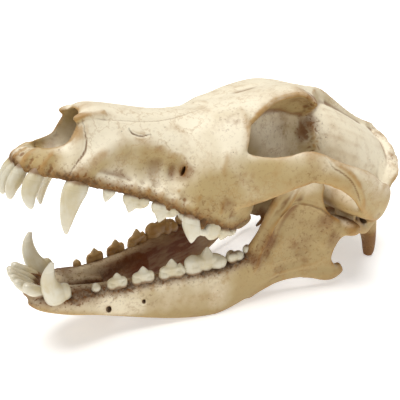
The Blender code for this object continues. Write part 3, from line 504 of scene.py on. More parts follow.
def lay_arches(clay):
    """Cheek arches, from the face round to the jaw's hinge, and their ridge behind it."""
    wide = ZYGOMA_HALF
    add_pair(clay, (
        (98, 33, 19, 6.0, 17), (108, 37.4, 20, 5.2, 16.4), (117, 42.2, 23.4, 4.4, 13.6),
        (125, 47.2, 28.0, 3.6, 11.2), (132, 52.0, 33.2, 3.0, 9.8), (139, 56.4, 38.4, 2.8, 9.4),
        (148, 60.2, 38.4, 2.7, 7.8), (160, 63.2, 37.8, 2.8, 8.0), (172, 65.0, 35.8, 2.8, 9.6),
        (183, wide - 2.6, 31.6, 3.0, 11.2), (191, wide - 3.8, 28.4, 3.6, 10.6),
        (197, 59.0, 26.6, 4.6, 9.0)))
    add_pair(clay, (
        (194, 63, 26, 10.0, 8.5), (192.5, 56, 24.0, 13.0, 8.3), (191.5, 48, 23.4, 14.5, 8.0),
        (192, 38, 23.6, 14.5, 8.0), (194, 26, 25, 13, 9)), square=3.0)
    add_pair(clay, (
        (186, 65, 33, 3.2, 7.5), (196, 62.4, 32, 4.4, 8.5), (204, 56.6, 27, 5.0, 10.0),
        (210, 49.6, 22.5, 5.0, 10.0), (216, 43, 22, 5.0, 9.0), (222, 38, 24, 5.0, 8.0)))
    add_pair(clay, ((197, 36, 20, 2.6, 8), (198.5, 40, 12, 2.4, 8.5), (199, 44, 7.5, 1.8, 6.5),
                    (200, 45, 2.6, 1.2, 4.0)), up=(0, 1, 0))


def lay_base(clay):
    """Tuberosity behind the teeth, wings of the throat, ear capsules and the neck joint."""
    add_pair(clay, ((100, 27, 4, 11, 9.5), (112, 27.5, 5, 11.5, 10), (122, 26.5, 6, 9.5, 9.5),
                    (130, 22.5, 7, 6.0, 7.5), (136, 18, 8, 3.5, 6)), square=2.8)
    add_bar(clay, ((98, 0, 5, 20, 3), (114, 0, 4.2, 20, 2.8), (124, 0, 3.2, 16, 2.4),
                   (129.5, 0, 2.6, 13, 1.8)), square=3.0)
    add_pair(clay, ((124, 15.5, 3.5, 2.6, 8.5), (136, 13.2, 4.6, 1.9, 8.5), (148, 12.4, 4.4, 1.7, 8.2),
                    (155, 12.4, 4.0, 1.6, 7.4), (161, 12.6, 6.5, 1.5, 4.5)))
    add_pair(clay, ((153, 12.4, 0.6, 1.4, 3.6), (156.4, 12.8, -2.4, 1.2, 2.4),
                    (156.4, 13.0, -6.0, 1.1, 1.6),
                    (153.4, 12.7, -10.6, 0.8, 1.1)))
    add_balls(clay, (212, 19.5, 3.4), (14.5, 11.0, 12.2), (0, 0, 14))
    add_pair(clay, ((211, 26, 9, 6.5, 6), (213, 34, 13, 7.0, 6.5), (214, 39, 16, 6.5, 6.0)))
    add_pair(clay, ((203, 42, 10, 3.0, 3.6), (211, 42.4, 6.8, 3.4, 4.0), (221, 40, 7.0, 4.4, 4.8)))
    add_pair(clay, ((226, 30, 20, 6.5, 9), (231, 33, 8, 5.4, 7.4), (236, 34.4, -1, 4.2, 5.8),
                    (239.5, 34.8, -8.4, 3.6, 4.6), (241.0, 34.8, -13.0, 2.9, 3.2)), up=(0, 1, 0))
    add_pair(clay, ((222, 36.5, 26, 7, 6), (221, 39.5, 17, 6.4, 5.4), (219, 40.4, 9, 5.4, 4.6)),
             up=(0, 1, 0))
    add_balls(clay, (238, 14.4, 19), (7.6, 7.6, 11.0), (-14, 0, -20))
    add_balls(clay, (236, 9.0, 12.0), (8.0, 7.6, 5.0), (0, 0, -10))
    add_sections(clay, (
        (224, 0, 72, 10, 69, 21, 62, 31, 52, 35, 38, 34, 24, 22, 10, 0, 9),
        (230, 0, 72, 10, 69, 22, 61.5, 31, 51, 34, 38, 32, 24, 20, 12, 0, 10),
        (235, 0, 68, 9, 65, 18, 58, 25, 47, 28, 36, 27, 25, 18, 14, 0, 12)))


print("braincase, crests, arches and base defined")

# %% [markdown]
# ## Openings
# The nose, the throat, the hole for the spinal cord, the ear and the little canals for nerves and
# vessels are real holes, because a skull with painted holes looks wrong as soon as it is turned.

# %% Openings of the cranium
def open_nose(clay):
    """The nose opening, from in front back to under the bridge."""
    add_bar(clay, (
        (-4, 0, 15, 2.0, 8.5), (2, 0, 17, 5.4, 9.6), (8, 0, 19.5, 9.2, 12.2), (14, 0, 20, 11.8, 13.2),
        (20, 0, 20, 12.6, 13.2), (26, 0, 20.4, 12.0, 12.8), (34, 0, 21.6, 11.4, 13.2),
        (46, 0, 22.5, 10.6, 13.0), (60, 0, 23, 10.5, 12), (72, 0, 24, 8, 8)), square=2.5)


def open_throat(clay):
    """The passage behind the palate and the hole for the spinal cord."""
    add_bar(clay, ((166, 0, 0.5, 9.5, 5.5), (150, 0, 2.6, 10.2, 5.4), (138, 0, 4, 10.4, 5.6),
                   (124, 0, 9.0, 9.5, 4.4), (110, 0, 10, 8, 4)), square=2.6)
    add_bar(clay, ((256, 0, 22.4, 10.6, 8.6), (238, 0, 23.0, 10.6, 8.4), (228, 0, 25, 11, 9),
                   (206, 0, 32, 14, 13), (196, 0, 34, 8, 8)), square=2.2)


def open_small_holes(clay):
    """The holes of the face nerve, the palate and the ear, and a few at the back of the orbit."""
    add_pair(clay, ((71, 33.5, 15.0, 0.9, 2.4), (76, 29.4, 16.2, 1.3, 3.0), (81, 25.6, 17.6, 1.5, 3.2),
                    (88, 23.0, 20, 1.6, 2.8), (96, 22, 22, 1.2, 2.0)))
    add_pair(clay, ((11.0, 5.0, -6, 1.6, 2.8), (13.0, 5.2, 2, 1.6, 3.6), (14.5, 5.0, 12, 1.6, 3.6)),
             up=(1, 0, 0))
    add_pair(clay, ((213, 46, 13.5, 3.2, 3.4), (213, 34, 12, 3.2, 3.4), (212, 22, 8, 5, 4.6)))
    add_pair(clay, ((172, 34, 22, 1.6, 2.2), (164, 24, 22, 1.6, 2.0), (160, 15, 22, 1.2, 1.6)))
    add_pair(clay, ((92, 17.0, -6, 1.0, 1.4), (94, 17.0, 1, 1.0, 1.6), (98, 17, 7, 1.0, 1.4)),
             up=(1, 0, 0))


print("nose, throat and small holes defined")

# %% [markdown]
# ## Details of the cranium
# These lines are where a finger would feel something: the bulge over the canine's root, sharp rims
# round the eye sockets, ridges where muscles held on, and the low seams between the bones. They are
# given for one side and drawn on both.

# %% Lines of the cranium
UPPER_FORKS = (((58.2, 25.6, -2.4), 1.8), ((74.4, 29.8, -3.4), 1.8), ((94.0, 38.0, -6.4), 4.2))
CANINE_ROOT = ((26, 23.6, 2), (30, 22.4, 8), (36, 20.4, 15), (42, 18.4, 21), (50, 16.6, 26))
ORBIT_RIM = ((113, 38, 38), (108, 36.6, 43), (110, 32.6, 51), (118, 27.5, 59), (127, 24.6, 66.4),
             (134, 25.6, 70.6), (142, 28.8, 74), (149, 33, 71))
TEMPLE_LINE = ((150, 33, 70.4), (153, 28, 76), (158, 21, 79), (165, 13, 81.6), (174, 4, 83.6))
SEAM_FRONT = ((24, 12.5, 30.6), (26, 16.0, 25), (27.3, 18, 19.8), (26.9, 18.8, 14.5), (24.6, 19.8, 9.7),
              (22.4, 21.2, 4.2), (20.6, 22, 0.5))
SEAM_NOSE = ((24, 13.4, 31.5), (36, 13, 32.5), (50, 12.4, 34), (64, 11.6, 37), (78, 10, 42),
             (90, 8, 49), (100, 4.5, 57))
SEAM_CHEEK = ((112, 39.4, 34), (108, 40.2, 26), (104, 41, 18), (106, 40, 10), (112, 38, 4))
SEAM_ARCH = ((142, 60.6, 46.4), (147.6, 62.5, 41.8), (153.9, 65, 40.2), (162.6, 66.5, 36.3),
             (172, 67.6, 28.1), (180, 67.2, 19))
SEAM_BROW = ((100, 26, 54), (104, 20, 58), (103, 14, 58), (108, 8, 61), (106, 2, 60))
CRACK_CROWN = ((196, 12, 70), (202, 20, 66), (206, 26, 60), (212, 30, 54), (214, 33, 46), (221, 34, 40))
CRACK_CHEEK = ((92, 36, 18), (96, 38, 14), (98, 40, 8), (104, 41, 6))
HOLLOW_RIDGE = ((34, 20.5, 15), (40, 20, 21.5), (45, 19.6, 23.4), (52, 20, 26), (59, 20.8, 27.2),
                (65, 22.4, 26.4), (71, 24.4, 24), (75.5, 26.6, 19.5), (77, 28.6, 12))
ORBIT_CREST = ((151, 29, 69), (157, 24, 66), (163, 21, 60), (167, 21, 54), (170, 22, 47))
NAPE_LINE = ((242, 0, 75), (240, 10, 71), (239, 21, 64), (236, 32, 54), (233, 41, 44), (228, 40, 38))
VESSEL_LINE = ((48, 15.4, 31), (50, 16.4, 28.4), (55, 16.8, 28.4), (60, 16.6, 30))
# Lines drawn on the cranium: path, width and height, where a height below nought is a groove
UPPER_LINES = ((TEMPLE_LINE, 1.5, 0.7), (HOLLOW_RIDGE, 4.5, 0.8), (SEAM_FRONT, 0.8, -0.35),
               (SEAM_NOSE, 0.8, -0.3), (VESSEL_LINE, 0.8, -0.5), (SEAM_ARCH, 1.0, -0.35),
               (np.array(SEAM_ARCH) + (1.8, 0.4, 2.2), 1.8, 0.6))
print("rim of the eye socket:", len(ORBIT_RIM), "spots;", len(UPPER_LINES), "more lines")

# %% [markdown]
# ## Sculpt the cranium
# Broad hollows are pressed while the skin is still plain. The fine lines wait until the holes are
# cut, so they are drawn on the final skin. Near the tooth sockets and on the muscle lines bone is
# rough, which crossed waves imitate.

# %% Sculpt the cranium
def sculpt_broad(points):
    """Hollows and swellings pressed into the smoothed clay."""
    press_both(points, (96, 42, 12), (16, 14, 13), (0, -1.6, 0))
    press_both(points, (67, 25, 15), (16, 10, 12), (0, -3.0, 0))
    press_both(points, (75.5, 28, 16.5), (8, 9, 11), (0, -3.4, 0))
    press_both(points, (36, 20, 17), (14, 8, 12), (0, 1.2, 0))
    press(points, np.array((118.0, 0, 70)), (26, 7, 9), (0, 0, -2.2))
    press_both(points, (214, 30, 52), (20, 14, 14), (0, -1.2, -0.6))
    press_both(points, (241, 12, 47), (9, 11, 13), (-3.0, 0, 0))
    press_both(points, (187.5, 50, 15.5), (8, 15, 5), (0, 0, 1.2))


def rough_margin(thing, points, gum, height, pace=1.0):
    """Uneven, porous-looking bone along a line; a lower pace gives wider bumps."""
    normals = surface_normals(thing)
    x, y, z = points.T * pace
    bumps = np.sin(2.1 * x + 1.3 * np.sin(1.7 * z)) * np.sin(1.9 * z + 1.1 * np.sin(1.3 * x) + 0.7 * y)
    for side in (LEFT, RIGHT):
        away, _ = line_distance(points, eased(np.array(gum, float) * (1, side, 1), 4))
        points += (height * bumps * np.exp(-(away / 4.5) ** 2))[:, None] * normals


def sculpt_fine(thing, points):
    """Rims, root bulges, muscle lines and grooves, drawn along lines on the surface."""
    normals = surface_normals(thing)
    for centre, drop in UPPER_FORKS:
        press_both(points, centre, (3.0, 5, 4.5), (0, 0.5, -drop))
    for side in (LEFT, RIGHT):
        stroke(points, normals, UPPER_GUM, 1.3, -0.4, side, ends=False)
        stroke(points, normals, CANINE_ROOT, 6.0, 1.0, side)
        stroke(points, normals, ORBIT_RIM, 1.6, 0.8, side)
        for x, y in ((1.0, 2.8), (3.4, 8.2), (9.6, 15.4)):
            root = ((x, y, 0), (x + 2.4, y * 0.92, 6), (x + 6, y * 0.82, 11))
            beside = ((x + 1.6, y * 1.35, 0), (x + 4, y * 1.2, 6))
            stroke(points, normals, root, 1.7, 0.9, side)
            stroke(points, normals, beside, 1.2, -0.7, side)
        for path, width, height in UPPER_LINES:
            stroke(points, normals, path, width, height, side)
        for x, y in ((55, 24.6), (62, 25.6), (70, 28.0), (78, 30.4), (88, 35.5), (101, 39.4)):
            stroke(points, normals, ((x, y, -1), (x + 1, y - 1, 9)), 2.0, 0.5, side)
        for x, y in ((48, 23), (51, 23), (66, 27), (82, 32.5)):
            stroke(points, normals, ((x, y, -1), (x, y - 1, 5)), 1.4, -0.5, side)
        stroke(points, normals, ORBIT_CREST, 2.6, 2.0, side)
        stroke(points, normals, np.array(ORBIT_CREST) - (6, 0, 0), 3.0, -1.0, side)
    rough_margin(thing, points, UPPER_GUM, 0.24)
    rough_margin(thing, points, NAPE_LINE, 0.6, 0.2)
    rough_margin(thing, points, ORBIT_CREST, 0.5, 0.45)


print("cranium brushes defined")

# %% [markdown]
# ## The lower jaw
# Each half is a long bar that deepens towards the back, a thin upright blade where the jaw muscle
# held on, a hook at the lower rear corner and a crosswise roller, which sits in the cheek arch's
# hinge. The blade is a slab with its outline drawn from the side; the rest are rolls.

# %% Lay half of the jaw
def lay_jaw(clay, side):
    """One half of the lower jaw."""
    add_bar(clay, (
        (-3.2, 4.8, -0.4, 3.4, 2.4), (3, 8.2, -1.3, 7.2, 4.5), (11, 10.6, -2.4, 9.4, 6.0),
        (20, 12.0, -4.9, 9.0, 7.2), (30, 12.6, -7.5, 7.6, 8.5), (44, 14.4, -10.6, 6.4, 10.9),
        (60, 18.4, -13.0, 6.2, 13.4), (75, 22.6, -14.8, 6.2, 15.2), (90, 27.0, -15.6, 6.3, 16.2),
        (102, 30.4, -15.0, 6.2, 16.4), (114, 33.6, -12.4, 5.8, 15.8), (126, 36.8, -8.6, 4.8, 15.2),
        (134, 39.0, -6, 3.7, 13)), side=side, square=2.7)
    add_bar(clay, ((4, 3.6, -1.6, 3.6, 3.0), (16, 3.8, -4.9, 3.8, 5.0), (30, 4.4, -8.8, 4.2, 6.2),
                   (40, 6.0, -12.6, 3.4, 6.0)), side=side, square=2.6)
    outline = ((116, 2), (121, 12), (125, 23), (130, 33.5), (136, 43.5), (142, 51), (149, 56),
               (157, 56.5), (161.5, 51), (163, 43), (163, 34), (166, 26.5), (171, 21.5), (176, 18),
               (176.5, 9), (173, 1), (171.5, -6), (174.5, -13), (172, -20.5), (163, -21.0),
               (151, -19.0), (141, -19.8), (130, -23.5), (118, -27))
    add_plate(clay, outline, (126, 37.6), 15.4, 4.6, side)
    add_bar(clay, ((118, 35.2, 3, 3.4, 4), (123.6, 37.6, 14, 3.2, 3.4), (129, 39.6, 26, 2.9, 2.8),
                   (135.4, 41.4, 37, 2.7, 2.5), (143, 43.2, 47.5, 2.4, 2.4)), side=side, up=(0, 1, 0))
    add_bar(clay, ((112, 33.4, -24.2, 4.6, 4.0), (126, 37.6, -21.0, 4.1, 3.8), (140, 41.6, -16.6, 3.6, 3.4),
                   (154, 45.4, -15.6, 3.4, 3.4), (164, 48.2, -17.4, 3.4, 3.8)), side=side)
    add_bar(clay, ((160, 47.0, -15.0, 3.0, 5.4), (168, 49.0, -17.8, 3.5, 5.8),
                   (174.0, 50.2, -17.4, 3.5, 5.6), (179.0, 50.8, -15.4, 2.8, 4.0)), side=side)
    add_bar(clay, ((162, 47.4, 4, 3.4, 8), (170, 48.8, 9.5, 4.0, 7.0), (176.0, 49.6, 12.6, 5.4, 5.6)),
            side=side)
    add_bar(clay, ((-3.0, 0.6, 3.4, 3.0, 3.8), (-1.6, 5.0, 3.8, 3.2, 3.8), (2.4, 9.6, 3.6, 3.4, 3.8),
                   (7.0, 12.4, 2.0, 3.2, 3.6)), side=side, up=(0, 0, 1))
    add_bar(clay, ((176.6, 37.6, 12.6, 3.4, 2.8), (177.2, 40, 13.0, 5.2, 4.6), (177.8, 49, 13.4, 5.7, 5.4),
                   (178.4, 57, 13.8, 5.2, 4.6), (178.6, 61.4, 14.0, 3.2, 2.6)), side=side)


def open_jaw_holes(clay, side):
    """The chin's nerve holes and the canal behind."""
    add_bar(clay, ((31.5, 25, -12.8, 1.5, 2.6), (36, 18.0, -11.8, 1.4, 2.5), (41, 15.0, -11, 1.0, 1.8)),
            side=side)
    add_bar(clay, ((51, 28, -12.4, 1.1, 1.8), (54.5, 23, -12, 1.1, 1.7), (58, 19.6, -11.6, 0.8, 1.2)),
            side=side)
    add_bar(clay, ((150, 38, -1, 1.8, 2.8), (143, 40.4, -3, 1.8, 2.8), (136, 40, -4, 1.2, 2)),
            side=side)


print("jaw clay defined")

# %% [markdown]
# ## Details of the jaw
# The chewing muscle filled a hollow on the outside of the blade, with a strong ridge in front of
# it. The lower rear border leans in towards the middle, and the halves meet at the chin on a flat.

# %% Sculpt the jaw
BLADE_LINE = ((133.5, 44.6, 28.5), (139, 45.2, 32.4), (146, 46.6, 33.3), (157.5, 49, 29.6), (166, 50, 22.6))
JAW_CRACK = ((128, 41, -4), (134, 43, -2), (141, 45, -3), (147, 47, 0))
BLADE_STEP = ((124, 39, -14), (132, 41, -12), (140, 43, -10.5), (150, 45.5, -9.5), (160, 47.5, -7),
              (167, 49, -1))
BLADE_RIDGE = ((146, 45.5, 46), (139, 45, 34), (131, 43.5, 24), (126.5, 42, 14.5), (121.8, 41.5, 4.5),
               (117.6, 40.5, -7))
# Lines drawn on the jaw, as on the cranium; the front ridge has a groove behind and before it
LOWER_LINES = ((BLADE_LINE, 1.5, 0.6), (BLADE_RIDGE, 2.0, 2.0),
               (np.array(BLADE_RIDGE) + (6, 0.6, -1), 2.6, -1.1),
               (np.array(BLADE_RIDGE) - (5, 0.6, -1), 2.4, -0.8), (BLADE_STEP, 3.0, 1.0))
LEAN = 0.32        # how far the rear border leans in, per millimetre down


def lean_inward(thing, side):
    """The jaw's lower rear border stands nearer the middle than its teeth do."""
    points = coordinates(thing)
    rear = np.clip((points[:, 0] - 96) / 40, 0, 1) * (1 - 0.7 * np.clip((points[:, 0] - 152) / 20, 0, 1))
    points[:, 1] -= side * LEAN * rear * np.clip(-points[:, 2] - 2, 0, None)
    put_coordinates(thing, points)


def sculpt_jaw(thing, side):
    """The chewing muscle's hollow and lines, and the flat where the halves meet at the chin."""
    points = coordinates(thing)
    for centre, radii, depth in (((149, 46, 20), (19, 12, 24), 2.2), ((146, 46, 0), (20, 12, 15), 2.2),
                                 ((118, 36, 12), (9, 14, 14), 1.0)):
        press(points, np.array(centre, float), radii, (0, -depth, 0), side)
    put_coordinates(thing, points)
    normals = surface_normals(thing)
    stroke(points, normals, LOWER_GUM, 1.7, -0.7, side, ends=False)
    for path, width, height in LOWER_LINES:
        stroke(points, normals, path, width, height, side)
    for x, y in ((39, 21), (45, 21), (53, 23), (60, 24), (68, 27), (77, 29.5), (88, 33), (102, 36)):
        stroke(points, normals, ((x, y, 0), (x, y, -8)), 2.0, 0.45, side)
    rough_margin(thing, points, LOWER_GUM, 0.2)
    inside = points[:, 1] * side < JAW_GAP / 2
    points[inside, 1] = side * JAW_GAP / 2
    put_coordinates(thing, points)


print("jaw brushes defined,", len(LOWER_LINES), "lines")

# %% [markdown]
# ## Teeth
# Front teeth and canines are tapering curved rolls. A cheek tooth is a row of cones, its cusps, on
# swellings over its roots, grown into one crown by the remesh. The two big flesh teeth cut past
# each other like scissor blades: the last premolar above and the first molar below.

# %% Tooth shapes
def add_cusp(clay, axes, along, across, top, long_radius, wide_radius, blunt=1.2, lean=0.0, foot=-3.0):
    """A cone or dome on a cheek tooth, from under the gum line up to its tip."""
    origin, run, out, rise = axes
    rings = []
    for t in (0.0, 0.2, 0.4, 0.55, 0.7, 0.8, 0.9, 0.96, 1.0):
        height = foot + (top - foot) * t
        swell = min(1.0, 0.45 + 0.55 * (height - foot) / max(0.3 * top - foot, 0.1))
        taper = max((height - 0.3 * top) / (0.7 * top), 0.0)
        keep = swell * (max(1 - taper ** blunt, 0.0) ** 0.85) + 0.03
        centre = origin + run * (along + lean * max(taper, 0.0)) + out * across + rise * height
        rings.append(oval(centre, run, out, long_radius * keep, wide_radius * keep, 2.2))
    add_tube(clay, rings)


def add_bulge(clay, axes, along, across, height, radii):
    """An ellipsoid in a tooth's own directions."""
    origin, run, out, rise = axes
    turn = Matrix((run, out, rise)).transposed().to_4x4()
    place = Matrix.Translation(origin + run * along + out * across + rise * height)
    bmesh.ops.create_icosphere(clay, subdivisions=3, radius=1.0,
                               matrix=place @ turn @ Matrix.Diagonal((*radii, 1)))


print("cusps and bulges ready")

# %% [markdown]
# ## Sizes of the cheek teeth
# Premolars (P) have one sharp main cusp and small ones behind it; the hind molars (M) are broad and
# low. The upper P4 and the lower M1 are the flesh teeth. A heading says how far the tooth row turns
# out there, in degrees from straight back.

# %% Cheek teeth
# Name, gum line middle, heading in degrees, bulges (along, across, height, radii) and cusps
# (along, across, top, long radius, wide radius, blunt, lean)
UPPER_CHEEK = (
    ("P1", (43.6, 22.0, -0.5), 6, ((0, 0, 0.8, (3.4, 2.2, 2.4)),),
     ((-0.2, 0, 6.6, 2.9, 1.8, 1.2, -0.4),)),
    ("P2", (58.4, 24.4, -1.2), 13,
     ((-4.6, 0, 1.4, (2.7, 2.1, 3.2)), (4.2, 0, 1.5, (3.0, 2.2, 3.2)), (-0.2, 0, 4.0, (6.0, 1.9, 1.9))),
     ((-1.6, 0, 9.2, 4.3, 2.0, 1.15, -0.4), (4.8, 0, 4.9, 2.2, 1.6, 2.2, 0.2))),
    ("P3", (74.4, 28.2, -2.2), 15,
     ((-5.0, 0, 1.3, (2.9, 2.3, 3.4)), (4.8, 0, 1.4, (3.2, 2.4, 3.4)), (0, 0, 4.2, (6.8, 2.1, 2.0))),
     ((-1.2, 0, 10.0, 4.7, 2.2, 1.15, -0.2), (4.8, 0, 5.8, 2.3, 1.7, 2.0, 0.2),
      (7.2, 0, 3.6, 1.3, 1.5, 2.2, 0))),
    ("P4", (94.6, 35.4, -5.0), 14,
     ((-7.6, 0.2, 1.0, (3.8, 3.6, 4.8)), (7.0, 0.2, 4.4, (4.8, 3.5, 5.2)),
      (-3.4, 0.2, 6.6, (5.4, 3.1, 3.8)), (2.4, 0.1, 6.2, (4.2, 2.9, 2.6)),
      (-9.2, -5.4, 0.6, (3.2, 3.2, 3.2))),
     ((-5.4, 0.4, 14.2, 5.6, 3.5, 1.35, 2.8), (7.2, 0.3, 10.4, 4.6, 2.9, 3.4, 0.0),
      (-9.4, -5.8, 4.4, 2.8, 2.6, 1.8, 0))),
    ("M1", (110.6, 31.6, -8.0), -16,
     ((-3.6, 5.2, 0.8, (4.0, 3.0, 3.2)), (3.4, 4.8, 0.4, (3.8, 3.0, 3.0)),
      (0.6, -4.0, 0.4, (5.0, 5.4, 3.0)), (0, 1, 1.4, (6.8, 7.2, 2.4))),
     ((-3.5, 5.2, 6.6, 4.2, 2.6, 1.6, 0), (3.4, 4.8, 4.6, 3.8, 2.6, 1.6, 0),
      (-0.8, -2.6, 4.0, 2.8, 2.8, 1.7, 0), (3.0, -2.8, 3.4, 2.6, 2.4, 1.7, 0),
      (1.2, -7.0, 3.0, 4.2, 2.2, 2.0, 0))),
    ("M2", (120.6, 26.6, -3.2), -26,
     ((0, 2.6, 0.4, (3.4, 3.0, 2.6)), (0, -2.6, 0.4, (3.2, 3.4, 2.6))),
     ((-1.5, 3.2, 3.6, 2.4, 2.4, 1.8, 0), (1.5, 3.0, 3.0, 2.0, 2.2, 1.8, 0),
      (0, -3.0, 2.6, 2.6, 2.4, 1.8, 0))),
)
LOWER_CHEEK = (
    ("P1", (30.2, 15.4, 0.2), 5, ((0, 0, 0.8, (2.6, 2.3, 2.8)),),
     ((-0.2, 0, 4.4, 2.3, 1.8, 2.0, 0),)),
    ("P2", (41.8, 17.0, -0.2), 9,
     ((-3.0, 0, 0.4, (2.7, 2.2, 3.0)), (3.0, 0, 0.5, (2.8, 2.2, 2.9)), (0, 0, 3.4, (5.4, 1.9, 2.1))),
     ((0.2, 0, 8.2, 4.0, 1.9, 1.15, 0), (4.2, 0, 4.6, 1.6, 1.5, 2.4, 0), (-4.0, 0, 4.4, 1.6, 1.5, 2.4, 0))),
    ("P3", (56.4, 19.6, -0.2), 12,
     ((-3.5, 0, 0.3, (3.0, 2.4, 3.3)), (3.4, 0, 0.4, (3.1, 2.4, 3.2)), (0, 0, 3.6, (6.2, 2.1, 2.2))),
     ((0.2, 0, 8.9, 4.4, 2.1, 1.15, 0), (4.7, 0, 5.2, 1.8, 1.6, 2.4, 0.1),
      (-4.7, 0, 4.6, 1.7, 1.6, 2.4, 0))),
    ("P4", (72.4, 23.2, -0.2), 15,
     ((-4.0, 0, 0.2, (3.5, 2.7, 3.7)), (3.9, 0, 0.4, (3.6, 2.8, 3.5)), (0, 0, 4.0, (7.0, 2.4, 2.5))),
     ((0.2, 0, 10.5, 4.8, 2.4, 1.15, 0.1), (5.0, 0, 7.0, 2.2, 2.0, 2.2, 0.1),
      (-5.2, 0, 5.0, 2.0, 1.8, 2.4, 0),
      (6.8, 0, 4.6, 1.5, 1.6, 2.2, 0))),
    ("M1", (92.2, 27.4, 0.0), 12,
     ((-6.8, 0.1, 1.4, (5.8, 3.7, 5.4)), (7.6, 0.1, 2.2, (5.0, 3.8, 4.4)), (0, 0, 5.6, (10.6, 3.3, 3.6)),
      (-2, 0, 3.6, (7.0, 3.4, 4.4))),
     ((0.6, 0.2, 13.8, 5.2, 3.4, 1.4, 0.8), (-7.4, 0.2, 10.2, 5.2, 3.1, 3.6, -0.2),
      (3.2, -2.6, 8.6, 2.8, 2.2, 1.8, 0), (8.6, 1.4, 7.6, 4.2, 2.5, 2.8, 0),
      (9.4, -2.2, 5.8, 2.8, 2.2, 2.2, 0))),
    ("M2", (110.2, 31.0, 2.6), 12,
     ((-1.4, 0, 1.2, (4.2, 3.6, 3.6)), (2.4, 0, 1.2, (3.6, 3.3, 3.4))),
     ((-1.6, 1.6, 5.4, 3.4, 2.1, 3.0, 0), (-1.6, -1.8, 5.0, 2.8, 2.0, 3.0, 0),
      (2.6, 0.5, 4.8, 2.9, 2.5, 3.0, 0))),
    ("M3", (118.2, 32.6, 5.8), 12, ((0, 0, 1.0, (2.9, 2.7, 3.2)),),
     ((0, 0, 4.4, 2.5, 2.3, 3.0, 0),)),
)
print("cheek teeth a side:", len(UPPER_CHEEK), "above,", len(LOWER_CHEEK), "below")

# %% [markdown]
# ## Sizes of the front teeth
# Incisors (I) and canines (C) are drawn as rolls from the root to the tip. The canines curve: the
# upper one points down, and the lower one leans out and its tip turns back. It goes in front of
# the upper when the mouth shuts.

# %% Front teeth
# Name, then rows of x, y, z, half width and half depth from the root to the tip
UPPER_FRONT = (
    ("I1", ((6.0, 2.4, 6.5, 0.7, 1.0), (2.6, 2.6, 1.8, 1.7, 2.3), (0.9, 2.7, -2.0, 2.3, 2.9),
            (-0.8, 2.7, -6, 2.6, 3.2), (-2.0, 2.8, -10.5, 2.5, 2.5), (-1.8, 2.8, -14.0, 2.0, 1.6),
            (-1.5, 2.8, -15.6, 0.9, 0.7))),
    ("I2", ((8.0, 6.4, 6.5, 0.7, 1.0), (4.4, 7.6, 1.6, 2.0, 2.6), (2.6, 8.0, -2.0, 2.6, 3.4),
            (1.4, 8.2, -6, 2.9, 3.7), (0.4, 8.4, -10.5, 2.8, 3.0), (0.6, 8.5, -14.4, 2.0, 1.9),
            (1.0, 8.5, -16.0, 0.9, 0.8))),
    ("I3", ((14.0, 10.0, 6.0, 0.8, 1.2), (10.2, 13.2, 1.4, 2.4, 3.2), (8.4, 14.4, -2.0, 3.1, 4.0),
            (7.2, 15.3, -6, 3.4, 4.3), (6.8, 16.4, -10.5, 3.0, 3.6), (8.0, 17.2, -14.4, 2.0, 2.4),
            (9.2, 17.6, -16.8, 0.9, 0.9))),
    ("C1", ((33.5, 14.0, 8, 1.2, 2.0), (28.8, 19.4, 1.8, 3.0, 4.8), (26.4, 22.2, -2.0, 4.2, 6.0),
            (25.0, 23.4, -7.0, 4.2, 5.6), (24.8, 23.9, -14.0, 3.3, 4.2), (25.6, 23.7, -20.5, 2.1, 2.6),
            (26.9, 23.3, -25.6, 0.8, 0.8))),
)
LOWER_FRONT = (
    ("I1", ((5.0, 2.4, -2, 0.8, 1.2), (0.0, 2.4, 4.0, 2.0, 2.6), (-3.6, 2.6, 7.4, 2.4, 3.0),
            (-6.8, 2.8, 11.0, 2.3, 2.6), (-9.0, 2.9, 14.0, 2.0, 1.8), (-9.8, 2.9, 15.4, 1.0, 0.8))),
    ("I2", ((6.5, 5.8, -2, 0.8, 1.2), (1.4, 6.6, 4.0, 2.2, 2.9), (-2.6, 7.4, 7.4, 2.6, 3.2),
            (-6.2, 7.8, 10.8, 2.6, 2.7), (-8.4, 8.0, 13.6, 2.3, 1.9), (-9.2, 8.0, 14.8, 1.1, 0.9))),
    ("I3", ((8.5, 8.8, -2, 0.8, 1.2), (4.0, 10.4, 3.8, 2.5, 3.1), (0.2, 11.9, 7.0, 2.9, 3.4),
            (-3.2, 12.9, 10.0, 3.0, 3.0), (-5.0, 13.3, 12.6, 2.5, 2.1), (-5.8, 13.4, 13.8, 1.2, 0.9))),
    ("C1", ((20.0, 11.0, -9, 1.2, 2.0), (13.6, 13.8, -3.0, 3.6, 5.6), (9.8, 14.8, 1.6, 4.7, 6.4),
            (7.8, 16.0, 6.0, 4.9, 5.9), (5.9, 17.8, 11.0, 4.2, 4.7), (5.1, 19.4, 16.5, 3.3, 3.8),
            (5.9, 20.8, 21.5, 2.3, 2.6), (7.8, 21.4, 26.0, 1.0, 1.1))),
)
# The swelling behind the lower canine's neck, and how far cheek teeth stand out from the gum line
HEEL, HEEL_RADII = (13.2, 16.2, 4.8), (3.4, 3.4, 5.2)
PROUD = 0.5
print("front teeth a side:", len(UPPER_FRONT), "above,", len(LOWER_FRONT), "below")

# %% [markdown]
# ## Grow the teeth
# Each tooth is laid up in clay, grown into one skin with a finer voxel than the bones, and marked
# with how near the gum and how near the tip each point is, for the enamel to read.

# %% Make the teeth
def tooth_frame(place, heading, down, side):
    """A cheek tooth's gum line middle, and its directions along the row, outwards and to the tip."""
    run = np.array((cos(radians(heading)), sin(radians(heading)) * side, 0.0))
    out = np.array((-sin(radians(heading)), cos(radians(heading)) * side, 0.0))
    middle = np.array(place, float) * (1, side, 1) + PROUD * out
    return middle, run, out, np.array((0.0, 0.0, float(down)))


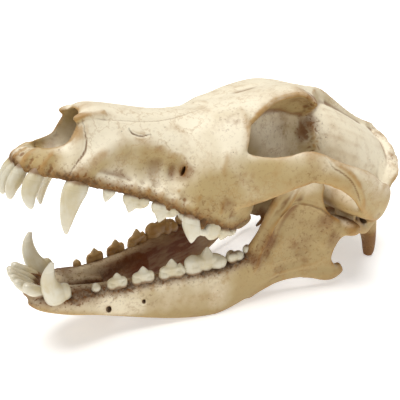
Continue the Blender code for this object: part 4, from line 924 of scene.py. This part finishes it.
def make_teeth(jaw_name, fronts, cheeks, down, side, rest):
    """Every tooth of one side as a piece of its own, with its place in its mesh."""
    made = []
    mark = "L" if side == LEFT else "R"
    for name, rows in fronts:
        clay = bmesh.new()
        add_bar(clay, rows, side=side, up=(1, 0, 0), steps=8)
        if name == "C1" and down > 0:
            heel = Matrix.Translation((HEEL[0],
                                       HEEL[1] * side, HEEL[2])) @ Matrix.Diagonal((*HEEL_RADII, 1))
            bmesh.ops.create_icosphere(clay, subdivisions=3, radius=1.0, matrix=heel)
        made.append((f"tooth_{jaw_name}_{mark}_{name}", clay, rows[1][2] + 1.5 * down))
    for name, place, heading, bulges, cusps in cheeks:
        clay = bmesh.new()
        axes = tooth_frame(place, heading, down, side)
        for along, across, height, radii in bulges:
            add_bulge(clay, axes, along, across, height, radii)
        for along, across, top, long_radius, wide_radius, blunt, lean in cusps:
            add_cusp(clay, axes, along, across, top, long_radius, wide_radius, blunt, lean)
        made.append((f"tooth_{jaw_name}_{mark}_{name}", clay, place[2]))
    teeth = []
    for name, clay, gum in made:
        tooth = shell_object(name, clay)
        unite(tooth, TOOTH_VOXEL, 4)
        points = coordinates(tooth)
        normals = surface_normals(tooth)
        height = (points[:, 2] - gum) * down
        add_mask(tooth, "neck", np.exp(-np.clip(height + 0.6, 0, None) / 1.6))
        tip = np.clip((height - 0.55 * height.max()) / (0.45 * height.max()), 0, 1)
        add_mask(tooth, "tip", tip)
        worn_flat = "lower" in name and name.endswith(("M2", "M3"))
        add_mask(tooth, "worn", tip * worn_flat)
        thin_out(tooth, TOOTH_TRIANGLES)
        tooth.data.transform(rest)
        tooth.data.shade_smooth()
        teeth.append(tooth)
    return teeth


print("tooth maker ready")

# %% [markdown]
# ## Masks
# Old bone is coloured by where it is. Dirt and glue-brown fat stay in hollows and round the teeth,
# handling and weather tint the sharp edges, and hollows and creases are painted darker as shade.
# Faces that look up are painted paler, as if lit from above. So each point gets numbers for all
# that, and the material only reads them. The first is how sharp the surface is there.

# %% Sharp and hollow
def neighbour_mean(edges, count, values, passes):
    """Values spread to neighbouring points, a few passes."""
    degree = np.bincount(edges.ravel(), minlength=count).astype(float)
    for _ in range(passes):
        total = np.bincount(edges[:, 0], values[edges[:, 1]], count)
        total += np.bincount(edges[:, 1], values[edges[:, 0]], count)
        values = 0.5 * values + 0.5 * total / np.maximum(degree, 1)
    return values


def sharpness(thing, passes):
    """How far each point stands out from its neighbourhood, in millimetres; hollows are negative."""
    points, normals, edges = coordinates(thing), surface_normals(thing), mesh_edges(thing)
    spread = np.column_stack([neighbour_mean(edges, len(points), points[:, k], passes) for k in range(3)])
    return np.einsum("ij,ij->i", points - spread, normals)


print("sharpness ready")

# %% [markdown]
# ## Shelter
# Dust settles where nothing brushes it away, and shade falls there too, so this mask paints both
# dust and shade. From each point rays go out all round, evenly spread by the golden angle, and the
# share that meets bone within a few centimetres says how sheltered the point is.

# %% Shelter
RAY_REACH, RAY_START, RAY_SLANT = 0.045, 0.0012, 0.12
FULL_RAYS, QUICK_RAYS = 26, 14


def shelter(thing, tree, count):
    """Share of a number of rays from each point that meet bone nearby."""
    golden = pi * (3 - 5 ** 0.5)
    steps = np.arange(count)
    level = 1 - 2 * (steps + 0.5) / count
    ring = np.sqrt(1 - level ** 2)
    rays = np.column_stack((ring * np.cos(golden * steps), ring * np.sin(golden * steps), level))
    points, normals = coordinates(thing), surface_normals(thing)
    facing = normals @ rays.T
    vectors = [Vector(ray) for ray in rays]
    starts = points + normals * RAY_START
    shade_and_dust = np.zeros(len(points))
    for index, start in enumerate(starts):
        start = Vector(start)
        total = met = 0.0
        for k in np.nonzero(facing[index] > RAY_SLANT)[0]:
            weight = facing[index, k]
            total += weight
            if tree.ray_cast(start, vectors[k], RAY_REACH)[0] is not None:
                met += weight
        shade_and_dust[index] = met / max(total, 1e-6)
    return neighbour_mean(mesh_edges(thing), len(points), shade_and_dust, 4)


def search_tree(things):
    """One search tree over the faces of several objects."""
    corners, faces = [], []
    for thing in things:
        base = len(corners)
        corners.extend(coordinates(thing).tolist())
        faces.extend([base + k for k in face.vertices] for face in thing.data.polygons)
    return BVHTree.FromPolygons(corners, faces)


print("shelter ready, reach", RAY_REACH, "m")

# %% [markdown]
# ## Colours and nodes
# Colours are written as the hex values a paint program shows and turned to linear light by one
# function. One small function adds a node with its settings and inputs. Stains, painted shade and
# painted light are laid over each other like coats of thin paint, and each follows a mask. No stain
# on bone ends in a smooth line, so a mask is made ragged with noise first.

# %% Colour and node helpers
RAMP = {"interpolation_type": "SMOOTHSTEP"}


def linear(code):
    """A hex colour as linear red, green, blue and alpha."""
    parts = [int(code[k:k + 2], 16) / 255 for k in (1, 3, 5)]
    return (*[c / 12.92 if c <= 0.04045 else ((c + 0.055) / 1.055) ** 2.4 for c in parts], 1.0)


def set_inputs(tree, node, inputs):
    """Sets a node's inputs, by name or in their order, to values or to other nodes' outputs."""
    for name, value in inputs.items() if isinstance(inputs, dict) else enumerate(inputs):
        if isinstance(value, bpy.types.Node):
            value = value.outputs[0]
        if isinstance(value, bpy.types.NodeSocket):
            tree.links.new(value, node.inputs[name])
        else:
            node.inputs[name].default_value = value


def add_node(tree, kind, settings, inputs):
    """A node with its settings and inputs."""
    node = tree.nodes.new("ShaderNode" + kind)
    for name, value in settings.items():
        setattr(node, name, value)
    set_inputs(tree, node, inputs)
    return node


def new_material(name, words=()):
    """A material with its shader, object coordinates and the masks that the words name."""
    material = bpy.data.materials.new(name)
    material.use_nodes = True
    tree = material.node_tree
    tree.nodes.clear()
    shader = add_node(tree, "BsdfPrincipled", {}, {})
    add_node(tree, "OutputMaterial", {}, {"Surface": shader})
    where = add_node(tree, "TexCoord", {}, {}).outputs["Object"]
    masks = {word: add_node(tree, "Attribute", {"attribute_name": word}, {}).outputs["Fac"]
             for word in words}
    return material, tree, shader, where, masks


def noise_inputs(where, size, detail, rough):
    """Inputs for cloudy noise with blobs of about a size in millimetres."""
    return {"Vector": where, "Scale": 0.6 / (size * MM), "Detail": detail, "Roughness": rough}


def ragged(tree, mask, pattern, amount):
    """A mask whose border wanders with a pattern of 0 to 1."""
    drift = add_node(tree, "Math", {"operation": "MULTIPLY_ADD"}, (pattern, amount, -amount / 2))
    return add_node(tree, "Math", {"operation": "ADD"}, (mask, drift))


def lay_coats(tree, colour, coats):
    """Lays coats of colour over a colour, in their order.

    A coat is its hex colour, the mask it follows, the mask's values where it begins and where it
    is full, how strong it is at the first and at the second, and a share, which may be a mask."""
    for code, mask, begin, full, least, most, share in coats:
        depth = add_node(tree, "MapRange", RAMP, (mask, begin, full, least, most))
        amount = add_node(tree, "Math", {"operation": "MULTIPLY"}, (depth, share))
        mixed = add_node(tree, "Mix", {"data_type": "RGBA"}, {0: amount, 6: colour, 7: linear(code)})
        colour = mixed.outputs[2]
    return colour


print("ivory", [round(c, 3) for c in linear("#D8CBB0")])

# %% [markdown]
# ## Dry bone
# Bone is matte with a faint waxy glow where fat was left in it. Fresh-cleaned bone is ivory, not
# white; age turns the edges ochre and the sheltered parts brown, and shade is painted into hollows
# and creases as well, while faces that look up are painted paler as if lit. Its outer skin is dense
# and smooth with pin-prick vessel holes; round the teeth and on muscle lines it is open and spongy.

# %% Dry bone material
def make_bone(name, pale_and_lit, warm, ochre, brown, dark, stain_and_shade):
    """Cleaned dry bone with age tints, painted shade in hollows and creases and painted light on faces that
    look up; colours are hex codes.
    """
    material, tree, shader, where, mask = new_material(
        name, ("lit_tops_and_pale", "grime_and_shade", "shade_and_dust", "edge", "crease_shade", "socket", "seam", "spongy", "stain"))
    along = add_node(tree, "Mapping", {}, {"Vector": where, "Scale": (0.18, 1.0, 1.0)})
    rows = ((where, 22, 3, 0.55), (where, 6, 5, 0.6), (where, 1.6, 5, 0.65), (where, 1.1, 3, 0.6),
            (where, 9, 6, 0.6), (along, 3, 4, 0.6))
    cloud, patch, fine, speck, vein, streak = (
        add_node(tree, "TexNoise", {}, noise_inputs(*row)) for row in rows)
    pits, pores = (add_node(tree, "TexVoronoi", {}, {"Vector": where, "Scale": 1 / (size * MM)})
                   for size in (3.8, 1.3))

    uneven_edge = add_node(tree, "MapRange", RAMP, (patch, 0.25, 0.65, 0.35, 0.85))
    uneven_socket = add_node(tree, "MapRange", RAMP, (patch, 0.3, 0.6, 0.45, 1.0))
    veined = add_node(tree, "MapRange", RAMP, (cloud, 0.45, 0.6, 0.0, 0.32))
    off_middle = add_node(tree, "Math", {"operation": "SUBTRACT"}, (vein, 0.5))
    vein_line = add_node(tree, "Math", {"operation": "ABSOLUTE"}, (off_middle,))
    soiled_and_shaded = add_node(tree, "Math", {"operation": "ADD"}, (mask["grime_and_shade"], mask["socket"]))
    specked = add_node(tree, "Math", {"operation": "MULTIPLY_ADD"}, (soiled_and_shaded, 0.8, 0.10))
    pitted = add_node(tree, "MapRange", RAMP, (patch, 0.52, 0.66, 0.0, 1.0))
    pit_shape = add_node(tree, "MapRange", RAMP, (pits, 0.05, 0.12, 1.0, 0.0))
    pit = add_node(tree, "Math", {"operation": "MULTIPLY"}, (pit_shape, pitted))
    colour = lay_coats(tree, linear(warm), (
        # Painted light: the pale coat lightens faces that look up and the pale spots, as if lit from above.
        (pale_and_lit, ragged(tree, mask["lit_tops_and_pale"], cloud, 1.6), -0.1, 0.85, 0, 1, 1),
        (ochre, patch, 0.5, 0.75, 0, 0.35, 1),
        (ochre, mask["edge"], 0.1, 0.7, 0, 1, uneven_edge),
        # Grime is dirt and painted shade.
        (brown, ragged(tree, mask["grime_and_shade"], patch, 1.5), 0.2, 1.2, 0, 0.85, 1),
        # Painted shade and dust where the ray-cast shelter is high.
        (brown, ragged(tree, mask["shade_and_dust"], patch, 0.5), 0.42, 1.0, 0, 0.7, 1),
        # Painted shade in creases.
        (brown, mask["crease_shade"], 0.12, 0.6, 0, 0.75, 1),
        (brown, mask["socket"], 0.15, 0.8, 0, 0.55, 1),
        (dark, ragged(tree, mask["socket"], fine, 1.6), 0.45, 1.1, 0, 0.85, uneven_socket),
        (brown, ragged(tree, mask["spongy"], fine, 2.0), 0.55, 1.2, 0, 0.7, 1),
        (dark, mask["seam"], 0.25, 0.9, 0, 0.6, 1),
        # Brown stain and painted shade on the jaw's inner faces.
        (stain_and_shade, streak, 0.3, 0.7, 0.6, 1, mask["stain"]),
        (ochre, vein_line, 0, 0.022, 1, 0, veined),
        (brown, speck, 0.54, 0.66, 0, 1, specked),
        (dark, pits, 0.05, 0.12, 0.7, 0, pitted)))

    sponge = add_node(tree, "Math", {"operation": "MAXIMUM"}, (mask["socket"], mask["spongy"]))
    open_pores = add_node(tree, "MapRange", RAMP, (pores, 0.0, 0.6, 0.0, 1.0))
    relief = add_node(tree, "Math", {"operation": "MULTIPLY"}, (open_pores, sponge))
    relief = add_node(tree, "Math", {"operation": "SUBTRACT"}, (relief, pit))
    relief = add_node(tree, "Math", {"operation": "MULTIPLY_ADD"}, (fine, 0.35, relief))
    bump = add_node(tree, "Bump", {}, {"Height": relief, "Strength": 0.6, "Distance": 0.3 * MM})
    rough = add_node(tree, "Math", {"operation": "ADD"}, (fine, sponge))
    gloss = add_node(tree, "MapRange", RAMP, (rough, 0.3, 1.3, 0.48, 0.78))
    set_inputs(tree, shader, {"Base Color": colour, "Normal": bump, "Roughness": gloss, "IOR": 1.5,
                              "Specular IOR Level": 0.3})
    return material


cranium_bone = make_bone("dry_bone_cranium", "#EADFC5", "#B39C6C", "#A67D42", "#784C1F", "#43270E",
                         "#6A4015")
jaw_bone = make_bone("dry_bone_jaw", "#EADDC0", "#AF9767", "#A1773B", "#70441A", "#3C220C", "#6B3200")
print("materials:", cranium_bone.name, jaw_bone.name)

# %% [markdown]
# ## Enamel
# Enamel is harder and denser than bone, a grey-ivory glaze over warmer dentine. It is the glossiest
# thing on a skull. Its foot is stained brown where the gum was, fine cracks run from root to tip,
# and the tip is a little worn and clearer.

# %% Enamel material
def make_enamel(name, glaze, warm, stain, worn_tip):
    """Tooth enamel with a stained foot; colours are hex codes."""
    material, tree, shader, where, mask = new_material(name, ("neck", "tip", "worn"))
    upright = add_node(tree, "Mapping", {}, {"Vector": where, "Scale": (1.0, 1.0, 0.12)})
    rows = ((where, 7, 3, 0.55), (where, 1.2, 4, 0.55), (upright, 0.9, 3, 0.55))
    cloud, fine, streak = (add_node(tree, "TexNoise", {}, noise_inputs(*row)) for row in rows)
    colour = lay_coats(tree, linear(glaze), (
        (warm, cloud, 0.35, 0.7, 0, 0.8, 1),
        (warm, streak, 0.5, 0.75, 0, 0.5, 1),
        (worn_tip, 1.0, 0, 1, 0, 0.75, mask["tip"]),
        (stain, ragged(tree, mask["neck"], fine, 0.6), 0.3, 1.05, 0, 0.9, 1),
        (stain, mask["worn"], 0.3, 0.9, 0, 0.8, 1)))
    cracks = add_node(tree, "Math", {"operation": "ADD"}, (streak, fine))
    bump = add_node(tree, "Bump", {}, {"Height": cracks, "Strength": 0.25, "Distance": 0.12 * MM})
    dullness = add_node(tree, "Math", {"operation": "MULTIPLY_ADD"}, (mask["tip"], 0.2, mask["neck"]))
    gloss = add_node(tree, "MapRange", RAMP, (dullness, 0.0, 1.0, 0.26, 0.6))
    set_inputs(tree, shader, {"Base Color": colour, "Normal": bump, "Roughness": gloss, "IOR": 1.62})
    return material


near_enamel = make_enamel("enamel_pale", "#D3CCB6", "#C4B48B", "#7A562C", "#DCD5C2")
# The brown copy is for the far side's lower cheek teeth: stain and painted shade.
brown_shaded_enamel = make_enamel("enamel_brown_and_shade", "#C29F69", "#9C7038", "#5C3A17", "#E2CFA4")
print("materials:", near_enamel.name, brown_shaded_enamel.name)

# %% [markdown]
# ## Finish the bones
# Every bone ends the same way: a lighter mesh, the masks that go by the bone's own millimetres, the
# pose, and last the mask for what faces up, painted paler as if lit from above, which needs the pose.

# %% Finish a bone
def spots(points, marks):
    """Strength of soft round marks, given as centre, radius and strength, on both sides."""
    values = np.zeros(len(points))
    for centre, radius, strength in marks:
        for side in (LEFT, RIGHT):
            away = np.linalg.norm(points - np.array(centre, float) * (1, side, 1), axis=1)
            values = np.maximum(values, strength * np.exp(-(away / radius) ** 2))
    return values


def finish_bone(thing, node, rest, triangles, socket_line, seams, marks, material):
    """Poses a bone, stores its masks and gives it its material."""
    before = thin_out(thing, triangles)
    points, normals = coordinates(thing), surface_normals(thing)
    sharp = np.clip(sharpness(thing, 6) / 0.30, -1, 1)
    broad = np.clip(sharpness(thing, 30) / 1.1, -1, 1)
    add_mask(thing, "edge", np.clip(np.maximum(sharp, broad), 0, 1))
    # Creases are painted darker as shade.
    add_mask(thing, "crease_shade", np.clip(-np.minimum(sharp, broad), 0, 1))
    seam = np.zeros(len(points))
    socket = np.zeros(len(points))
    for side in (LEFT, RIGHT):
        for path, width, wobble, strength in seams:
            paint(seam, points, path, width, side, strength, wobble)
        paint(socket, points, socket_line, 5.2, side)
    add_mask(thing, "seam", seam)
    add_mask(thing, "socket", socket)
    # Brown stain and painted shade on faces turned in towards the middle, where the jaw lies under the
    # skull.
    inward = np.clip(-normals[:, 1] * np.sign(points[:, 1]), 0, 1)
    add_mask(thing, "stain", spots(points, marks["inner_stain_and_shade"]) * inward)
    # Grime spots are dirt and painted shade.
    add_mask(thing, "grime_and_shade", spots(points, marks["grime_and_shade"]))
    add_mask(thing, "spongy", spots(points, marks["sponge"]))
    # Pale spots are pale bone and painted light; the dull spots below take it away as painted shade.
    pale_and_lit = spots(points, marks["pale_and_lit"])
    add_mask(thing, "pale_and_lit", pale_and_lit)
    pale_and_lit -= spots(points, marks["painted_shade"])
    thing.data.transform(rest)
    points = coordinates(thing)
    points[:, 2] = np.maximum(points[:, 2], 0.0)
    put_coordinates(thing, points)
    # Faces that look up are painted paler, as if lit from above.
    upward = surface_normals(thing)[:, 2]
    add_mask(thing, "lit_tops_and_pale", neighbour_mean(mesh_edges(thing), len(points), upward, 6) + pale_and_lit)
    thing.data.materials.clear()
    thing.data.materials.append(material)
    thing.data.shade_smooth()
    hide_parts(node)
    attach(thing, "root")
    print(thing.name, "triangles before thinning", before)


print("finish ready")

# %% [markdown]
# ## Where the marks are
# Socket lines follow the gum. Seams are rows of path, width, wobble and strength. Marks are soft
# round spots of centre, radius and strength: open sponge, grime that is dirt and painted shade, pale
# patches that are pale bone and painted light, patches of painted shade, and the brown stain with
# painted shade that is left inside the jaw, seen on this skull.

# %% Marks
UPPER_GUM = ((1, 3, 1), (5, 8, 0), (11, 14, 0), (18, 19, 0), (27, 24.5, 0), (36, 23.5, 0), (44, 23, -0.5),
             (58, 25.4, -1.2), (74, 29.6, -2.2), (86, 35, -4.4), (98, 39.4, -6.4), (106, 39.6, -9.0),
             (113, 38.6, -8.6), (119, 35, -5), (125, 31, -3))
LOWER_GUM = ((-1, 3, 1), (3, 9, 1.4), (8, 14, 1.5), (16, 17, 0), (24, 17, 0), (34, 17, 0), (48, 19.6, 0),
             (64, 22.8, 0), (80, 27, 0.5), (94, 31, 1), (108, 34, 2), (120, 35, 4.5), (126, 36, 7))
UPPER_SEAMS = ((SEAM_FRONT, 0.6, 0.5, 0.7), (SEAM_NOSE, 0.4, 0.25, 0.35), (VESSEL_LINE, 0.8, 0.0, 0.7),
               (SEAM_CHEEK, 0.45, 0.6, 0.45), (SEAM_ARCH, 0.7, 0.3, 0.5), (SEAM_BROW, 0.4, 0.5, 0.4),
               (CRACK_CROWN, 0.4, 0.4, 0.6), (CRACK_CHEEK, 0.35, 0.4, 0.5))
LOWER_SEAMS = ((BLADE_LINE, 1.1, 0.2, 0.75), (JAW_CRACK, 0.35, 0.4, 0.6))
UPPER_MARKS = {
    "sponge": (((150, 33, 70), 6, 1.0), ((153, 29, 74), 5, 1.0), ((139, 58, 33), 6, 0.7),
               ((152, 60, 33), 6, 0.5), ((30, 22, 4), 7, 0.6)),
    # Grime spots here are dirt and painted shade.
    "grime_and_shade": (((12, 14, 3), 9, 0.4), ((28, 21, 3), 8, 0.7), ((66, 24, 14), 14, 0.36),
              ((78, 28, 17), 7, 1.1), ((48, 22, 4), 9, 0.6), ((150, 27, 66), 9, 0.9),
              ((142, 20, 56), 10, 0.6), ((238, 30, 56), 10, 0.6), ((241, 10, 68), 9, 0.6),
              ((92, 38, 4), 13, 0.45), ((106, 40, 20), 13, 0.35), ((105, 39, 5), 7, 0.7),
              ((82, 32, 3), 6, 0.5), ((124, 44, 11), 8, 0.7), ((100, 26, 50), 12, 0.35),
              ((139, 57, 33), 10, 0.5), ((196, 58, 12), 9, 0.9), ((240, 34.8, -6), 14, 1.7),
              ((150, 30, 74), 8, 0.9), ((163, 20, 62), 9, 1.1), ((160, 17, 53), 6, 1.2),
              ((187, 50, 14), 10, 1.0), ((236, 14, 20), 16, 0.5), ((212, 20, 0), 16, 0.5),
              ((154, 12.5, -6), 9, 1.3), ((128, 12, 58), 10, 0.3), ((186, 48, 22), 12, 0.4)),
    # Pale spots are pale bone and painted light; dull spots are painted shade.
    "pale_and_lit": (((206, 34, 52), 24, 0.75), ((220, 26, 60), 16, 0.6), ((180, 26, 62), 14, 0.5),
             ((60, 8, 42), 20, 0.5), ((120, 6, 68), 22, 1.3), ((23, 6, 17), 9, 0.7),
             ((32, 8, 22), 11, 0.6), ((130, 16, 50), 14, 0.7), ((101, 33, 44), 11, 0.8),
             ((150, 61, 42), 9, 0.35), ((212, 58, 24), 12, 0.3), ((140, 20, 38), 14, 0.6)),
    "painted_shade": (((104, 22, 56), 20, 0.6), ((8, 12, 9), 11, 0.9), ((96, 40, 8), 16, 0.5),
             ((118, 46, 30), 16, 0.4), ((64, 24, 14), 16, 0.36)),
    "inner_stain_and_shade": ()}
LOWER_MARKS = {
    "sponge": (((4, 8, -2), 6, 0.6),),
    # Grime spots here are dirt and painted shade.
    "grime_and_shade": (((4, 8, 3), 9, 0.9), ((156, 47, 17), 13, 0.42), ((163, 47.5, 21), 7, 0.9),
              ((151, 46, 9), 7, 0.7), ((126, 40, 14), 6, 0.8), ((20, 14, 2), 10, 1.0),
              ((177, 50, 16), 9, 0.8), ((166, 48, 22), 7, 0.9), ((40, 18, 0), 9, 0.5),
              ((150, 48, 4), 11, 0.7), ((146, 48, 24), 10, 0.5), ((60, 22, -12), 6, 0.5),
              ((128, 40, 12), 7, 1.2), ((121, 38, 1), 7, 1.0), ((162, 49, 18), 8, 0.7),
              ((170, 50, 8), 8, 0.9), ((136, 43, -7), 6, 0.6)),
    # Pale spots are pale bone and painted light; dull spots are painted shade.
    "pale_and_lit": (((8, 10, -10), 14, 0.9), ((150, 47, 44), 11, 0.8), ((22, 16, -12), 12, 0.8),
             ((36, 18, -14), 20, 0.8), ((72, 28, -20), 24, 0.45), ((100, 34, -20), 16, 0.4)),
    "painted_shade": (((150, 48, 10), 28, 0.9), ((168, 50, -10), 14, 0.5)),
    # Brown stain and painted shade inside the jaw.
    "inner_stain_and_shade": (((75, 20, -8), 34, 1.3), ((105, 28, -8), 34, 1.3), ((45, 14, -6), 24, 1.0),
              ((135, 38, 0), 30, 1.1))}
# Spots that the smoothing spares, as centre, radius and the share that is kept
CRANIUM_KEPT = (((22, 11.2, 29.6), 8, 0.9), ((118, 28, 59), 12, 0.7), ((132, 25, 70), 12, 0.7),
                ((148, 32, 72), 9, 0.85), ((110, 36, 44), 9, 0.6), ((155, 12.8, -6), 9, 0.95),
                ((240, 34.8, -12), 8, 0.7), ((199, 45, 5), 6, 0.8), ((20, 12, 18), 9, 0.6))
JAW_KEPT = (((178, 50.5, -14), 8, 0.7), ((155, 45, 56), 9, 0.5), ((0, 8, 0), 8, 0.5))
print("marks on the cranium:", sum(len(rows) for rows in UPPER_MARKS.values()))

# %% [markdown]
# ## Make the bones
# The order is a sculptor's: clay, one skin, smoothing, cut openings and fine strokes. The cranium's
# broad hollows are pressed before its openings are cut. The jaw's halves are made one by one,
# because each leans to its own side and has its own flat at the chin.

# %% Make the bones
def make_cranium():
    """The cranium without its teeth."""
    clay = bmesh.new()
    for lay in (lay_muzzle, lay_brow, lay_braincase, lay_crests, lay_arches, lay_base):
        lay(clay)
    cranium = shell_object("cranium_bone", clay)
    unite(cranium, BONE_VOXEL, 0)
    soften(cranium, 12, CRANIUM_KEPT)
    points = coordinates(cranium)
    sculpt_broad(points)
    put_coordinates(cranium, points)
    for opening in (open_nose, open_throat, open_small_holes):
        cutter = bmesh.new()
        opening(cutter)
        cut(cranium, cutter)
    points = coordinates(cranium)
    sculpt_fine(cranium, points)
    put_coordinates(cranium, points)
    finish_bone(cranium, "cranium", HEAD_REST, CRANIUM_TRIANGLES, UPPER_GUM, UPPER_SEAMS, UPPER_MARKS,
                cranium_bone)
    return cranium


def make_jaw(name, node, side):
    """Half of the lower jaw without its teeth."""
    clay = bmesh.new()
    lay_jaw(clay, side)
    jaw = shell_object(name, clay)
    unite(jaw, BONE_VOXEL, 0)
    soften(jaw, 9, JAW_KEPT)
    lean_inward(jaw, side)
    cutter = bmesh.new()
    open_jaw_holes(cutter, side)
    cut(jaw, cutter)
    sculpt_jaw(jaw, side)
    finish_bone(jaw, node, JAW_REST, JAW_TRIANGLES, LOWER_GUM, LOWER_SEAMS, LOWER_MARKS, jaw_bone)
    return jaw


cranium = make_cranium()
jaw_left = make_jaw("jaw_bone_left", "mandible_left", LEFT)
jaw_right = make_jaw("jaw_bone_right", "mandible_right", RIGHT)
bones = (cranium, jaw_left, jaw_right)
all_bone = search_tree(bones)
for thing in bones:
    shade_and_dust = shelter(thing, all_bone, FULL_RAYS)
    pale_and_lit = np.empty(len(shade_and_dust), np.float32)
    thing.data.attributes["pale_and_lit"].data.foreach_get("value", pale_and_lit)
    # The shelter is painted as shade and dust, weaker on the pale, lit spots.
    add_mask(thing, "shade_and_dust", shade_and_dust * (1 - 0.7 * np.clip(pale_and_lit, 0, 1)))
    print(thing.name, len(shade_and_dust), "points, mean shelter", round(float(shade_and_dust.mean()), 2))

# %% [markdown]
# ## Set the teeth
# Forty-two teeth, as in every adult wolf: twenty above and twenty-two below. Each reaches a few
# millimetres into its socket.

# %% All the teeth
teeth = []
for side in (LEFT, RIGHT):
    teeth += make_teeth("upper", UPPER_FRONT, UPPER_CHEEK, -1, side, HEAD_REST)
    teeth += make_teeth("lower", LOWER_FRONT, LOWER_CHEEK, 1, side, JAW_REST)
for tooth in teeth:
    # The far side's lower cheek teeth get the brown enamel, stain and painted shade.
    stain_and_shade = tooth.name.startswith(("tooth_lower_R_P", "tooth_lower_R_M"))
    tooth.data.materials.append(brown_shaded_enamel if stain_and_shade else near_enamel)
    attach(tooth, "root")
print("teeth:", len(teeth), "points in all:", sum(len(tooth.data.vertices) for tooth in teeth))

# %% [markdown]
# ## Floor and light
# A white floor that glows a little, one broad soft light from almost straight above, a weak one
# from the front and an even white surround stand in for a studio tent. A photographer's tent does the
# same: no shadow has a hard edge, and the deepest one lies under the jaw.

# %% Stage
floor_clay = bmesh.new()
bmesh.ops.create_grid(floor_clay, x_segments=1, y_segments=1, size=12.0)
floor_mesh = bpy.data.meshes.new("floor")
floor_clay.to_mesh(floor_mesh)
floor_clay.free()
floor = bpy.data.objects.new("floor", floor_mesh)
bpy.context.scene.collection.objects.link(floor)
paper, tree, shader = new_material("white_paper")[:3]
set_inputs(tree, shader, {"Base Color": linear("#F4F3F1"), "Roughness": 0.9,
                          "Emission Color": linear("#FFFFFF"), "Emission Strength": 0.45})
floor.data.materials.append(paper)

world = bpy.data.worlds.new("tent")
bpy.context.scene.world = world
world.use_nodes = True
set_inputs(world.node_tree, world.node_tree.nodes["Background"],
           {"Color": linear("#FFFFFF"), "Strength": 0.20})


def add_sun(name, direction, softness, strength):
    """A soft sun that shines from a direction; softness is its width in degrees."""
    light = bpy.data.lights.new(name, "SUN")
    light.energy = strength
    light.angle = radians(softness)
    thing = bpy.data.objects.new(name, light)
    thing.rotation_euler = Vector(direction).to_track_quat("Z", "Y").to_euler()
    bpy.context.scene.collection.objects.link(thing)


add_sun("key", (-0.05, 0.05, 1.0), 45, 3.2)
add_sun("front", (-1.0, -0.6, 0.55), 50, 0.4)
print("floor, world and two suns set")

# %% [markdown]
# ## Camera
# The camera stands where a fit of the skull's own landmarks to the photo puts it: in front and to
# the left of the nose, looking down at about 23 degrees. Three turns build its axes: yaw about the
# upright, pitch downwards, and a little roll.

# %% Camera
IMAGE_PIXELS, SENSOR = 400, 36
YAW, PITCH, ROLL, FOCAL_PIXELS = 29.491, 23.189, -3.509, 528.38
CAMERA_PLACE = Vector((-0.16182, -0.25889, 0.18716))
yaw, pitch, roll = radians(YAW), radians(PITCH), radians(ROLL)
forward = Vector((sin(yaw) * cos(pitch), cos(yaw) * cos(pitch), -sin(pitch)))
right = Vector((cos(yaw), -sin(yaw), 0))
above = right.cross(forward)
right, above = right * cos(roll) + above * sin(roll), above * cos(roll) - right * sin(roll)
turn = Matrix((right, above, -forward)).transposed()
camera = bpy.data.objects.new("camera", bpy.data.cameras.new("camera"))
camera.data.sensor_width = SENSOR
camera.data.lens = SENSOR * FOCAL_PIXELS / IMAGE_PIXELS
camera.data.clip_start = 0.01
camera.matrix_world = Matrix.Translation(CAMERA_PLACE) @ turn.to_4x4()
bpy.context.scene.collection.objects.link(camera)
bpy.context.scene.camera = camera
bpy.context.scene.view_settings.view_transform = "Standard"
print("camera lens", round(camera.data.lens, 2), "mm")
